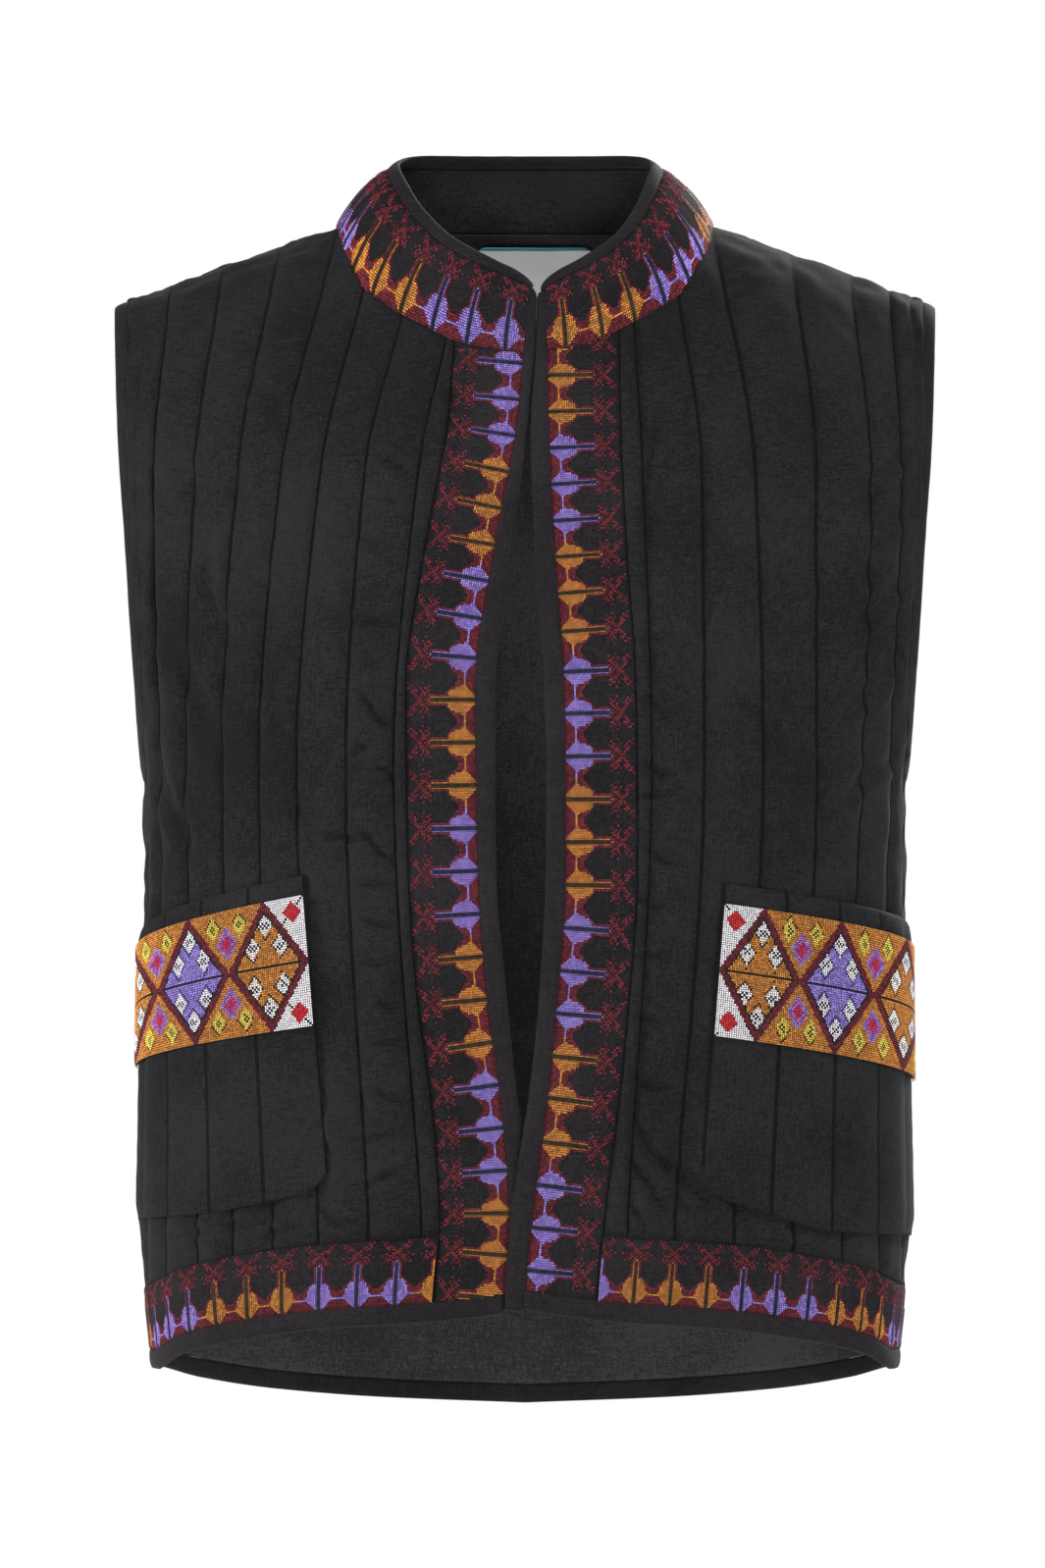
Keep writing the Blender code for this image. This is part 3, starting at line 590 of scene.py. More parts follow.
# Listed one by one: x and height of both ends, half width, depth
creases = {
    (front, right): [
        (-90, -194, -62, -203, 3.6, 1.1), (-88, -214, -68, -222, 3.0, 0.7),
        (-87, -231, -67, -251, 3.0, 1.5), (-90, -265, -78, -260, 2.6, 1.2),
        (-76, -270, -66, -276, 2.6, 1.1), (-106, -308, -77, -305, 3.0, 1.3),
        (-87, -300, -65, -320, 2.8, 1.5), (-90, -328, -64, -334, 2.8, 0.9),
        (-84, -346, -64, -356, 2.8, 1.1), (-92, -368, -62, -372, 2.8, 0.8),
        (-80, -386, -62, -397, 2.6, 1.0), (-84, -410, -60, -414, 2.6, 0.8),
        (-78, -432, -60, -446, 2.8, 1.1), (-92, -462, -66, -458, 2.8, 0.9),
        (-84, -484, -62, -478, 2.8, 1.0), (-77, -110, -58, -125, 4.0, 1.1),
        (-84, -150, -66, -168, 4.2, 0.8), (-104, -176, -88, -206, 5.0, 0.8),
        (-168, -152, -146, -214, 6.5, 1.2), (-178, -196, -158, -262, 6.0, 1.1),
        (-186, -254, -168, -318, 5.0, 1.0), (-150, -120, -132, -176, 6.0, 0.8),
        (-120, -280, -104, -322, 5.0, 0.8), (-112, -446, -96, -470, 4.0, 0.8),
        (-150, -507, -128, -501, 3.0, 0.9), (-176, -512, -160, -506, 3.0, 0.8),
        (-104, -494, -88, -509, 3.2, 1.0), (-132, -512, -112, -504, 2.8, 0.9),
        (-140, -66, -118, -108, 6.0, 0.8), (-80, -440, -98, -430, 3.2, 0.7),
        (-182, -110, -160, -140, 5.0, 0.9), (-132, -226, -118, -264, 5.5, 0.7),
    ],
    (front, left): [
        (55, -205, 74, -209, 3.2, 0.9), (57, -236, 78, -246, 3.4, 1.1), (58, -268, 76, -276, 3.0, 1.1),
        (57, -288, 75, -283, 2.6, 1.2), (58, -312, 80, -322, 3.0, 1.0), (56, -338, 72, -346, 2.8, 1.1),
        (55, -366, 74, -371, 2.8, 1.0), (54, -396, 70, -404, 2.6, 0.9), (52, -428, 72, -437, 3.0, 1.0),
        (52, -452, 84, -486, 4.0, 1.5), (50, -470, 74, -500, 3.6, 1.4), (66, -462, 104, -508, 3.8, 1.1),
        (50, -492, 66, -512, 3.0, 1.2), (88, -500, 112, -516, 3.0, 0.9), (120, -512, 146, -520, 3.0, 0.8),
        (190, -110, 172, -138, 4.0, 1.1), (192, -140, 168, -178, 4.5, 1.2),
        (190, -172, 160, -216, 4.5, 1.1), (188, -212, 158, -250, 4.5, 1.0),
        (184, -262, 158, -296, 4.5, 0.8), (150, -150, 132, -196, 6.0, 0.7), (72, -92, 58, -130, 4.0, 0.8),
        (96, -178, 82, -226, 5.0, 0.7), (112, -270, 98, -312, 5.0, 0.6),
    ],
    (back, left): [
        (20, -140, 44, -152, 5.0, 0.8), (-60, -180, -38, -196, 5.0, 0.9), (90, -230, 66, -252, 5.0, 0.8),
        (-120, -150, -146, -206, 6.5, 1.1), (128, -140, 150, -200, 6.5, 1.2),
        (-168, -220, -146, -282, 6.0, 1.1), (172, -214, 150, -280, 6.0, 1.0),
        (30, -300, 6, -318, 4.5, 0.8), (-30, -330, -52, -344, 4.5, 0.8), (110, -350, 84, -372, 4.5, 0.9),
        (-96, -392, -120, -410, 4.5, 0.8), (14, -420, -12, -432, 4.0, 0.8),
        (70, -470, 46, -486, 4.0, 0.9), (-50, -500, -74, -516, 4.0, 0.9),
        (140, -500, 116, -520, 4.0, 0.8), (-136, -520, -160, -534, 4.0, 0.8),
        (10, -540, 34, -552, 3.6, 0.8), (-10, -60, 12, -74, 4.0, 0.7),
    ],
}


def quiltLines(face, side):
    # the panel's inner seam, its quilting lines and its outer edge, each as distance by height
    inner = (lambda z: 0.0 * z) if face == back else (lambda z: bandSeam(side, z) + body["seamGap"])
    lines = [inner]
    lines += [lambda z, line=line: quiltPlace(face, line, z) for line in quilting[(face, side)]]
    return lines + [halfWidth]


def lineHeights(face, line, isEdge):
    rows = panelLook["sideRows"], panelLook["armholeRows"]
    low = hemHeight(face, line(quiltLevels[0])) + underPanel(face)
    if isEdge:
        side = mix(low, body["armholeBottom"], np.arange(rows[0]) / rows[0])
        return np.concatenate([side, armholeHeights(face, rows[1])])
    high = float(topHeight(face, line(body["above"])))
    return evenHeights(lambda z: bodyPoint(face, line(z), z), low, high, sum(rows))


def creaseRelief(face, side, points):
    x, z = points[..., 0], points[..., 2]
    relief = np.zeros_like(x)
    for x0, z0, x1, z1, width, depth in creases[(face, side)]:
        length, width = math.hypot(x1 - x0, z1 - z0), width * panelLook["creaseWidth"]
        ux, uz = (x1 - x0) / length, (z1 - z0) / length
        t = ((x - x0) * ux + (z - z0) * uz) / length
        wander = creaseLook["wander"][0] * width * np.sin(creaseLook["wander"][1] * t + x0)
        off = ((x - x0) * -uz + (z - z0) * ux - wander) / width
        ends = ease(1 - np.abs(2 * t - 1) + creaseLook["ends"])
        above, below = (high * np.exp(-((off - place) ** 2)) for high, place in creaseLook["ridges"])
        relief += depth * ends * (above - np.exp(-(off**2)) + below)
    return relief * panelLook["creaseDepth"]


def panelGrid(face, side):
    # half a panel's angles, heights and columns, which are counted in quilting lines, and its last line
    lines = quiltLines(face, side)
    last = len(lines) - 1
    heights = np.array([lineHeights(face, line, k == last) for k, line in enumerate(lines)])
    angles = np.array([angleAt(face, line(heights[k]), heights[k]) for k, line in enumerate(lines)])
    place = np.linspace(0, last, last * panelLook["perChannel"] + 1)
    place = place - panelLook["gather"] * np.sin(2 * np.pi * place) / (2 * np.pi)
    before = np.minimum(place.astype(int), last - 1)
    share = (place - before)[:, None]
    z = mix(heights[before], heights[before + 1], share)
    angle = mix(angles[before], angles[before + 1], share)
    return angle, z, place, last


def sideThinning(angle):
    start = panelLook["thinFrom"]
    return 1 - 0.5 * ease((angle - math.radians(start)) / math.radians(90 - start))


def quiltedWall(face, side, points, angle, z, place, last):
    look = panelLook
    channel = np.minimum(place.astype(int), last - 1)
    share = place - channel
    nearShoulder = ease(1 - (shoulderHeight(points[..., 0]) - z) / look["flatBelow"])
    thinning = sideThinning(angle) * (1 - look["flatShoulder"] * nearShoulder)
    sway = look["sway"][0] * np.sin(channel * look["sway"][1])[:, None]
    lumps = 1 + ruffle(points, look["fullness"]) + sway
    full = look["crown"] * thinning * lumps
    fading = ease((z - body["armholeBottom"]) / look["fading"])
    low = np.empty_like(z)
    for i, k in enumerate(channel):
        ends = []
        stitched = mix(look["stitchWall"], full[i], look["fullShoulder"] * nearShoulder[i])
        for line in (k, k + 1):
            if line == last or (line == 0 and face == front):
                ends.append(np.full(z.shape[1], look["seamWall"]))
            elif line >= last - 1:
                ends.append(mix(stitched, full[i] * look["lastLine"], fading[i]))
            else:
                ends.append(stitched)
        low[i] = mix(ends[0], ends[1], share[i])
    profile = (1 - np.abs(2 * share - 1) ** look["channelShape"])[:, None]
    wall = low + np.maximum(full - low, 0) * profile
    # the puckers hardly vary across a channel, and are strongest beside its lines
    upright = np.stack([points[..., 0] * 0.12, points[..., 1] * 0.12, z], -1)
    wall += (1 - 0.65 * profile) * ruffle(upright, look["pucker"])
    wall += ruffle(points, look["lump"]) * profile
    slanted = points @ np.array([(0.8, 0, -0.6), (0, 1, 0), (0.6, 0, 0.8)]).T
    wall += ruffle(slanted, look["sag"]) * (0.35 + 0.65 * profile)
    steps = np.linalg.norm(np.diff(points, axis=1), axis=-1)
    run = np.concatenate([np.zeros((len(z), 1)), np.cumsum(steps, axis=1)], 1)
    ends = np.minimum(*(ease(far / look["pressed"] + 0.15) for far in (run, run[:, -1:] - run)))
    wall = mix(look["seamWall"], wall + creaseRelief(face, side, points) * ends, ends)
    return np.clip(wall, look["thinnest"], look["crown"] + look["fullest"]), run


def halfPanel(face, side, tableSide):
    # the places, thickness and plan of a panel, from its inner seam to its side
    angle, z, place, last = panelGrid(face, tableSide)
    points = pointAt(face, side, angle, z)
    # the fronts and the back meet along the side and shoulder seams
    points[..., 1] += body["seamGap"] if face == back else 0
    meeting = -body["seamLap"] if face == back else 0.0
    points[-1, z[-1] <= body["armholeBottom"], 1] = meeting
    onShoulder = np.abs(points[:, -1, 0]) > body["neckHalf"] - 0.6
    points[onShoulder, -1, 1] = meeting
    points[onShoulder, -1, 2] = shoulderHeight(points[onShoulder, -1, 0])
    wall, run = quiltedWall(face, tableSide, points, angle, z, place, last)
    return points, wall, planOf(np.minimum(place, last - 1.4)[:, None], run)


def makePanels():
    for side, word, end in sides:
        layCloth("front" + word, "front_" + end, "black_cotton", "blackCotton",
                 *halfPanel(front, side, side), ["collar", "back"])
    halves = halfPanel(back, right, left), halfPanel(back, left, left)
    whole = (np.concatenate([a[::-1], b[1:]]) for a, b in zip(*halves))
    layCloth("backPanel", "back", "black_cotton", "blackCotton", *whole, ["collar"])


makePanels()
print("quilted panels made")


# Plain strips and folded bindings
stripLook = {
    "bandWall": 2.5,
    "edgeWall": 1.2,
    "bandLumps": (0.22, (14, 30, 16), 12),
    "bindingCloth": 0.55,  # the bias strip's own thickness
    "bindingFull": 3.3,
    "bindingMiddle": 0.45,  # where its fold is hollow, as a share of its height
    "bindingRipple": 0.16,
    "bindingSize": 9.0,  # how long such a ripple is
    "overlap": 0.9,  # how far a binding reaches over the piece it is sewn to
    "rimWidth": 2.4,  # how wide a band's thin rim is
    "hemTuck": 1.6,  # how far a hem band goes up under the front
}

# A binding's folded section: the share of its width from seam to edge, and the height over the lining
bindingFold = [
    (0.0, 0.78), (0.1, 0.93), (0.28, 1.0), (0.5, 1.02), (0.72, 0.98), (0.88, 0.86), (0.97, 0.66), (1.0, 0.45),
    (0.97, 0.24), (0.88, 0.08), (0.7, -0.02), (0.45, -0.06), (0.2, -0.05), (0.04, 0.0),
]


def frameAlong(seam, edge):
    # the outward directions of a strip that runs along a seam
    normals = turnOut(unit(np.cross(np.gradient(seam, axis=0), edge - seam)), seam)
    for _ in range(2):
        normals[1:-1] = normals[1:-1] * 0.5 + (normals[:-2] + normals[2:]) * 0.25
    return normals


def foldedBinding(name, node, seam, edge, seed, full=stripLook["bindingFull"], outward=None, closed=False):
    # a bias strip folded over an edge, from the seam on the outside round to the lining
    outward = (frameAlong(seam, edge) if outward is None else outward)[:, None]
    seam = seam - unit(edge - seam) * stripLook["overlap"]
    across = edge - seam
    ripple = unevenness(seam, stripLook["bindingSize"], seed)[:, None, None] * stripLook["bindingRipple"]
    share = np.array(column(bindingFold, 0))[None, :, None]
    height = np.array(column(bindingFold, 1))[None, :, None] * full
    lift = height + ripple * (share > 0.2) * (height > 1)
    outer = seam[:, None] + across[:, None] * share + outward * lift
    thin = stripLook["bindingCloth"]
    inset = thin / np.linalg.norm(across, axis=1)[:, None, None]
    above = height - full * stripLook["bindingMiddle"]
    inner = (seam[:, None] + across[:, None] * (share - inset * ease(share * 4))
             + outward * (height - np.sign(above) * np.minimum(np.abs(above), thin)))
    plan = planOf(runLength(outer[0])[None, :] * 0.04, runLength(seam)[:, None])
    piece = makeSheet(name, outer, inner, plan, cloths["blackBinding"], closed=closed)
    declare(piece, node, np.concatenate([outer, outer[:1]]) if closed else outer)


def edgeX(side, z, share):
    return mix(edgeCurve[(side, 0)](z), edgeCurve[(side, 1)](z), share)


def neckAngle(face, x):
    # the angle round the neck, 0 at the front and 180 degrees at the back
    share = x / body["neckHalf"]
    if face == front:
        share = share - body["openingShift"] / body["neckHalf"] * (1 - share * share)
    turn = np.arcsin(np.clip(share, -1, 1))
    return turn if face == front else np.pi - turn


collarLook = {
    "topHalf": 64.0,
    "topFront": 73.0,
    "topBack": 50.0,
    "bulge": 3.5,
    "lean": 0.6,
    "rises": ((2.4, 55, 35), (3.2, 80, 55)),  # added height, its first angle and its span
    "wall": 3.0,
    "lumps": (0.28, (22, 22, 13), 5),
    "fold": 0.87,  # where the collar's cloth goes under its binding
    "foldGap": 0.01,
    "rim": 0.1,  # how wide its thin rim is, as a share of its height
    "innerStitch": 0.82,  # where the stitching shows inside
    "bindingFull": 2.6,
    "notch": (3.6, 0.76, 0.24),  # how far its ends part, from which share of its height, over how much
}


def collarTop(angle):
    look = collarLook
    ahead = np.cos(angle) > 0
    x = look["topHalf"] * np.sin(angle) + np.where(ahead, (body["openingShift"] + 1) * np.cos(angle) ** 2, 0)
    depth = np.where(ahead, look["topFront"], look["topBack"])
    turn = np.degrees(np.abs(np.arctan2(np.sin(angle), np.cos(angle))))
    rise = sum(high * ease((turn - start) / span) for high, start, span in look["rises"])
    return np.stack([x, -depth * np.cos(angle), collarTopHeight(turn) + rise], -1)


def collarPoint(base, angle, share):
    out = unit(np.stack([np.sin(angle), -np.cos(angle), np.full_like(angle, collarLook["lean"])], -1))
    share = np.asarray(share, float)[..., None]
    return mix(base, collarTop(angle), share) + out * collarLook["bulge"] * np.sin(np.pi * share)


def neckSeam(steps=120):
    # the seam round the neck from the right front band, behind the neck, to the left front band
    line, angles = [], []
    gap, half = body["seamGap"], body["neckHalf"]
    for side in (right, left):
        start = abs(float(edgeX(side, body["edgeTop"], 1)) + side * gap / 2) * side
        frontX = start + (side * half - start) * np.linspace(0, 1, steps) ** 0.9
        frontX = np.minimum(np.abs(frontX), half) * np.sign(frontX)
        frontLine = bodyPoint(front, frontX, neckCurve(np.abs(frontX)) - gap * (np.abs(frontX) < half - 4))
        backX = side * half * np.linspace(1, 0, steps // 2)
        backLine = bodyPoint(back, backX, np.full_like(backX, backNeck - gap)) + (0, gap, 0)
        part = np.concatenate([frontLine, backLine[1:]])
        turn = np.concatenate([neckAngle(front, frontX), neckAngle(back, backX[1:])])
        line.append(part if side == right else part[::-1][1:])
        angles.append(turn if side == right else turn[::-1][1:])
    angles[0] = np.where(angles[0] > 0.4, angles[0] - 2 * np.pi, angles[0])
    return np.concatenate(line), np.unwrap(np.concatenate(angles))


def collarWall(share, points):
    look = collarLook
    above = look["fold"] - look["foldGap"] - share
    rim = np.minimum(ease(share / look["rim"] + 0.2), ease(above / look["rim"] + 0.2))
    return mix(stripLook["edgeWall"], look["wall"], rim) + ruffle(points, look["lumps"])


def makeCollar():
    look = collarLook
    seam, turn = neckSeam()

    def line(share):
        return collarPoint(seam, turn, np.full(len(turn), share))

    shares = np.linspace(0, look["fold"] - look["foldGap"], 19)
    points = np.stack([line(share) for share in shares], 1)
    shares = shares[None, :]
    layCloth("standCollar", "collar", "front_embroidery", "blackGround", points, collarWall(shares, points),
             planOf(shares / look["innerStitch"], runLength(seam)[:, None]),
             ["front_right", "front_left", "back"], "collarLining")
    foldedBinding("neckBinding", "neck_binding", line(look["fold"]), line(1.0), 31, look["bindingFull"])
    return seam, turn


def openEdge(side, steps=190, neckSteps=16):
    # the binding's seam and edge, from the hem up a front and over the collar's end
    z = np.linspace(body["edgeFoot"], body["edgeTop"], steps)
    gap = body["seamGap"] / 2
    seam = bodyPoint(front, edgeX(side, z, 1) - side * gap, z, side)
    edge = bodyPoint(front, edgeX(side, z, 0), z, side)
    endX = float(edgeX(side, body["edgeTop"], 1)) + side * gap
    start = bodyPoint(front, np.full(neckSteps, endX), np.full(neckSteps, body["edgeTop"]))
    up = np.linspace(0, 1, neckSteps + 1)[1:]
    collarSeam = collarPoint(start, np.full(neckSteps, float(neckAngle(front, endX))), up)
    collarEdge = collarSeam.copy()
    collarSeam[:, 0] -= side * mix(gap * 2, gap * 4, up)
    wide, low, over = collarLook["notch"]
    parted = side * (0.03 + wide * ease((up - low) / over))
    collarEdge[:, 0] = body["openingShift"] + mix(-0.5, 1.0, up) + parted
    return np.concatenate([seam, collarSeam]), np.concatenate([edge, collarEdge])


def makeFrontEdges():
    for side, word, end in sides:
        foldedBinding("frontBinding" + word, "front_binding_" + end, *openEdge(side), seed=40 + side)


def bandFoot(side, across):
    x = edgeX(side, body["edgeFoot"], 1) + side * across
    return hemHeight(front, x) + hem["binding"] + body["seamGap"]


def bandTop(side, across):
    x = edgeX(side, body["edgeTop"], 1) + side * across
    return neckCurve(np.abs(x)) - body["seamGap"]


def bandPoint(side, across, z):
    return bodyPoint(front, edgeX(side, z, 1) + side * across, z, side)


def bandWall(fromEdge, points):
    rim = ease(fromEdge / stripLook["rimWidth"] + 0.1)
    return mix(stripLook["edgeWall"], stripLook["bandWall"], rim) + ruffle(points, stripLook["bandLumps"])


def makeFrontBands():
    gap = body["seamGap"]
    for side, word, end in sides:
        width = bandWidth[side]
        across = np.linspace(gap / 2, width + gap, 17)[:, None]
        z = mix(bandFoot(side, across), bandTop(side, across), np.linspace(0, 1, 200)[None, :])
        points = bandPoint(side, across, z)
        wall = bandWall(np.minimum(across, width - across), points)
        layCloth("frontBand" + word, "front_band_" + end, "front_embroidery", "blackGround", points, wall,
                 planOf(across * 0.02, z), ["front_" + end])


def stripPoint(face, side, share, drop):
    # a place on a strip sewn under a panel's lower edge, on the panel's own columns
    low, high = hem["innerAt"]
    inner = bandSeam(side, low) + body["seamGap"] if face == front else 0.0
    begin = float(angleAt(face, inner, high))
    x = sectionReach(face, hem["reachAt"]) * np.sin(mix(begin, np.pi / 2, share))
    z = hemHeight(face, x) + underPanel(face) - drop
    start = angleAt(face, bandSeam(side, z) + body["seamGap"], z) if face == front else np.zeros_like(z)
    points = pointAt(face, side, mix(start, np.pi / 2, share), z)
    if face == back:
        atSide = np.broadcast_to(share, z.shape) > 0.9999
        points[..., 1] += np.where(atSide, -body["seamLap"], body["seamGap"])
    return points


def stripBelow(face, side, drop, width, steps, columns):
    share = np.linspace(0, 1, columns)[:, None]
    return stripPoint(face, side, share, drop + width * np.linspace(0, 1, steps)[None, :])


def makeHems():
    gap, tuck, rows = body["seamGap"], stripLook["hemTuck"], 19
    for side, word, end in sides:
        points = stripBelow(front, side, -tuck, hem["band"] + gap + tuck, rows, 110)
        down = np.linspace(-gap - tuck, hem["band"], rows)[None, :]
        plan = planOf(np.linspace(0.1, 0.4, rows)[None, :], runLength(points[:, 8])[:, None])
        layCloth("hemBand" + word, "hem_band_" + end, "front_embroidery", "blackGround", points,
                 bandWall(np.minimum(down, hem["band"] - down), points), plan, ["front_" + end])
        strip = stripBelow(front, side, gap + hem["band"] + gap, hem["binding"], 2, 110)
        across = np.linspace(0.2, bandWidth[side], 16)[:-1]
        foot = bandFoot(side, across) - gap
        under = np.stack([bandPoint(side, across, foot), bandPoint(side, across, foot - hem["binding"])], 1)
        strip = np.concatenate([under, strip[1:]])
        foldedBinding("hemBinding" + word, "hem_binding_" + end, strip[:, 0], strip[:, 1], seed=50 + side)
    halves = [stripBelow(back, side, gap, hem["binding"], 2, 100) for side in (right, left)]
    strip = np.concatenate([halves[0][::-1], halves[1][1:]])
    foldedBinding("hemBindingBack", "hem_binding_back", strip[:, 0], strip[:, 1], seed=55)


armholeLook = {"start": -0.6, "width": 6.6, "full": 3.1}


def makeArmholes():
    # the ring round the armhole, up the front from the side seam and down the back
    look = armholeLook
    for side, word, end in sides:
        points, normals = [], []
        for face in (front, back):
            z = armholeHeights(face, 96)[::-face]
            place = bodyPoint(face, side * halfWidth(z), z)
            angle = angleAt(face, halfWidth(z), z)
            height = np.minimum(z, shoulderTip - 3)
            before, after = angle - 0.01, np.minimum(angle + 0.01, np.pi / 2)
            across = pointAt(face, side, after, height) - pointAt(face, side, before, height)
            along = pointAt(face, side, angle, height + 1) - pointAt(face, side, angle, height - 1)
            points.append(place[:-1])
            normals.append(turnTo(unit(np.cross(across, along)), place * (1, 1, 0))[:-1])
        ring, normal = np.concatenate(points), np.concatenate(normals)
        for _ in range(3):
            normal = unit(normal + np.roll(normal, 1, 0) + np.roll(normal, -1, 0))
        along = np.roll(ring, -1, 0) - np.roll(ring, 1, 0)
        away = turnTo(unit(np.cross(along, normal)), ring.mean(0) - ring)
        foldedBinding("armholeBinding" + word, "armhole_binding_" + end, ring + away * look["start"],
                      ring + away * look["width"], 60 + side, look["full"], normal, closed=True)


neckLine, neckTurn = makeCollar()
makeFrontEdges()
makeFrontBands()
makeHems()
makeArmholes()
print("collar, bands and bindings made")


# Pockets: x at the inner edge's top and foot, then heights at the inner and outer edges
pockets = {
    right: {"topX": 111.0, "footX": 98.5, "top": (-326, -357), "foot": (-486, -499, -503),
            "stripTop": (-335.5, -365), "stripFoot": (-403, -426)},
    left: {"topX": 100.0, "footX": 88.0, "top": (-330, -353), "foot": (-490, -508, -511),
           "stripTop": (-340, -364), "stripFoot": (-408, -433)},
}
pocketLook = {
    "outerAngle": math.radians(89.2),
    "lift": 4.9,  # height of the pocket's inside over the lining
    "cloth": 1.0,
    "puff": 1.5,
    "channelShape": 2.2,
    "sideRise": (5.5, 9),  # how steeply its face rises from its sides, and from its foot and top
    "endRise": (14, 16),
    "lumps": (0.25, (14, 14, 9), 33),
    "mouth": 0.7,  # height of the plain band above the strip
    "mouthWidth": 11,
    "rimGap": 0.9,  # how much closer its inner edge lies to the front
    "channels": 5,
    "stripLift": 0.35,
    "stripCloth": 1.1,
}


def pocketAngle(side, across, z):
    look = pockets[side]
    down = (look["top"][0] - z) / (look["top"][0] - look["foot"][0])
    inner = angleAt(front, mix(look["topX"], look["footX"], np.clip(down, 0, 1)), z)
    return mix(inner, pocketLook["outerAngle"], across)


def pocketFoot(side, across):
    inner, middle, outer = pockets[side]["foot"]
    heights = (inner + 9, inner + 1.5, inner - 3, middle, outer)
    return smoothCurve((0.0, 0.035, 0.09, 0.45, 1.0), heights)(across)


def pocketFace(across, down):
    # how high the pocket's outer face stands over its inside
    look = pocketLook
    share = across * look["channels"]
    profile = 1 - np.abs(2 * (share - np.floor(share)) - 1) ** look["channelShape"]
    (inner, outer), (foot, top) = look["sideRise"], look["endRise"]
    edge = np.minimum(ease(0.04 + across * inner), ease((1.02 - across) * outer))
    edge = edge * ease(0.15 + down * foot) * ease(0.15 + (1 - down) * top)
    return look["cloth"] + look["puff"] * (0.25 + 0.75 * profile) * edge


def stripPlace(side, across, up):
    # a place on the underside of the pocket's embroidered strip, and its outward direction
    shape, look = pockets[side], pocketLook
    z = mix(mix(*shape["stripFoot"], across), mix(*shape["stripTop"], across), up)
    angle = pocketAngle(side, across, z)
    points = pointAt(front, side, angle, z)
    normals = placeNormals(front, points[..., 0], z)
    lift = look["lift"] * sideThinning(angle) + look["cloth"] + look["puff"] + look["stripLift"]
    return points + normals * lift[..., None], normals


def makePockets():
    look = pocketLook
    for side, word, end in sides:
        across, down = np.linspace(0, 1, 76)[:, None], np.linspace(0, 1, 84)[None, :]
        foot, top = pocketFoot(side, across), mix(*pockets[side]["top"], across)
        z = mix(foot, top, down)
        angle = pocketAngle(side, across, z)
        points = pointAt(front, side, angle, z)
        normals = gridNormals(points)
        mouth = ease((z - top + look["mouthWidth"]) / 1.5) * ease((top - z) / 2.0)
        face = pocketFace(across, down) + look["mouth"] * mouth + ruffle(points, look["lumps"])
        lift = look["lift"] * sideThinning(angle)
        rimGap = look["rimGap"] * (1 - ease(across * 30))
        piece = makeSheet("pocket" + word, points + normals * (lift + face - rimGap)[..., None],
                          points + normals * (lift - rimGap)[..., None],
                          planOf(across * look["channels"], down * (top - foot)), cloths["blackCotton"])
        declare(piece, "pocket_" + end, points, ["front_" + end])

        across, up = np.linspace(0, 1, 60)[:, None], np.linspace(0, 1, 34)[None, :]
        points, normals = stripPlace(side, across, up)
        ends, sidesOff = np.minimum(across, 1 - across), np.minimum(up, 1 - up)
        wall = look["stripCloth"] * np.minimum(ease(0.3 + 20 * ends), ease(0.3 + 16 * sidesOff))
        piece = makeSheet("pocketStrip" + word, points + normals * wall[..., None], points,
                          planOf(across, up), cloths["blackGround"])
        declare(piece, "pocket_strip_" + end, points, ["pocket_" + end])


labelLook = {
    "width": 60.0,
    "height": 38.0,
    "top": -2.2,
    "centre": 5.0,
    "corner": 5.0,
    "gap": 1.2,
    "cloth": 0.5,
    "lumps": (0.35, (20, 20, 20), 77),
    "finish": (0.6, 0.2, 0.3),  # roughness, sheen, specular
    "colour": (0.94, 0.94, 0.95),
    "selvedge": (0.05, 0.27, 0.29),
    "selvedgeWidth": 1.4,
    "satin": (900.0, 0.6),  # scale and distortion of its weave
    "relief": (0.3, 0.0001),  # strength, and depth in metres
}


def makeLabel():
    # a blank white label inside the back, with a teal selvedge
    look = labelLook
    made, shader, start = newMaterial("labelCloth", *look["finish"], (0.8, 0.8, 0.8))
    plan = start.node("ShaderNodeSeparateXYZ", {}, {"Vector": start.node("ShaderNodeUVMap", {}, {})})
    place = start.node("ShaderNodeTexCoord", {}, {}, 3)
    satin = start.node("ShaderNodeTexWave", {"bands_direction": "Z"},
                       {"Vector": place, "Scale": look["satin"][0], "Distortion": look["satin"][1]}, 1)
    edge = plan.output(1) > look["height"] - look["selvedgeWidth"]
    colour = edge.blend((*look["colour"], 1), (*look["selvedge"], 1))
    wireUp(made, shader, colour, satin, *look["relief"])
    across, down = np.meshgrid(np.linspace(-0.5, 0.5, 31), np.linspace(1, 0, 41) ** 1.5, indexing="ij")
    z = look["top"] - look["height"] * down
    corner = look["corner"]
    inset = corner - np.sqrt(corner**2 - np.clip(corner - look["height"] * down, 0, corner) ** 2)
    x = look["centre"] + across * (look["width"] - 2 * inset)
    points, normals = bodyPoint(back, x, z), placeNormals(back, x, z)
    sag = ruffle(points, look["lumps"])[..., None]
    piece = makeSheet("neckLabel", points - normals * (look["gap"] + sag),
                      points - normals * (look["gap"] + look["cloth"] + sag),
                      planOf(x, z - look["top"] + look["height"]), made)
    declare(piece, "neck_label", points, ["back"])


makePockets()
makeLabel()
print("pockets and label made")
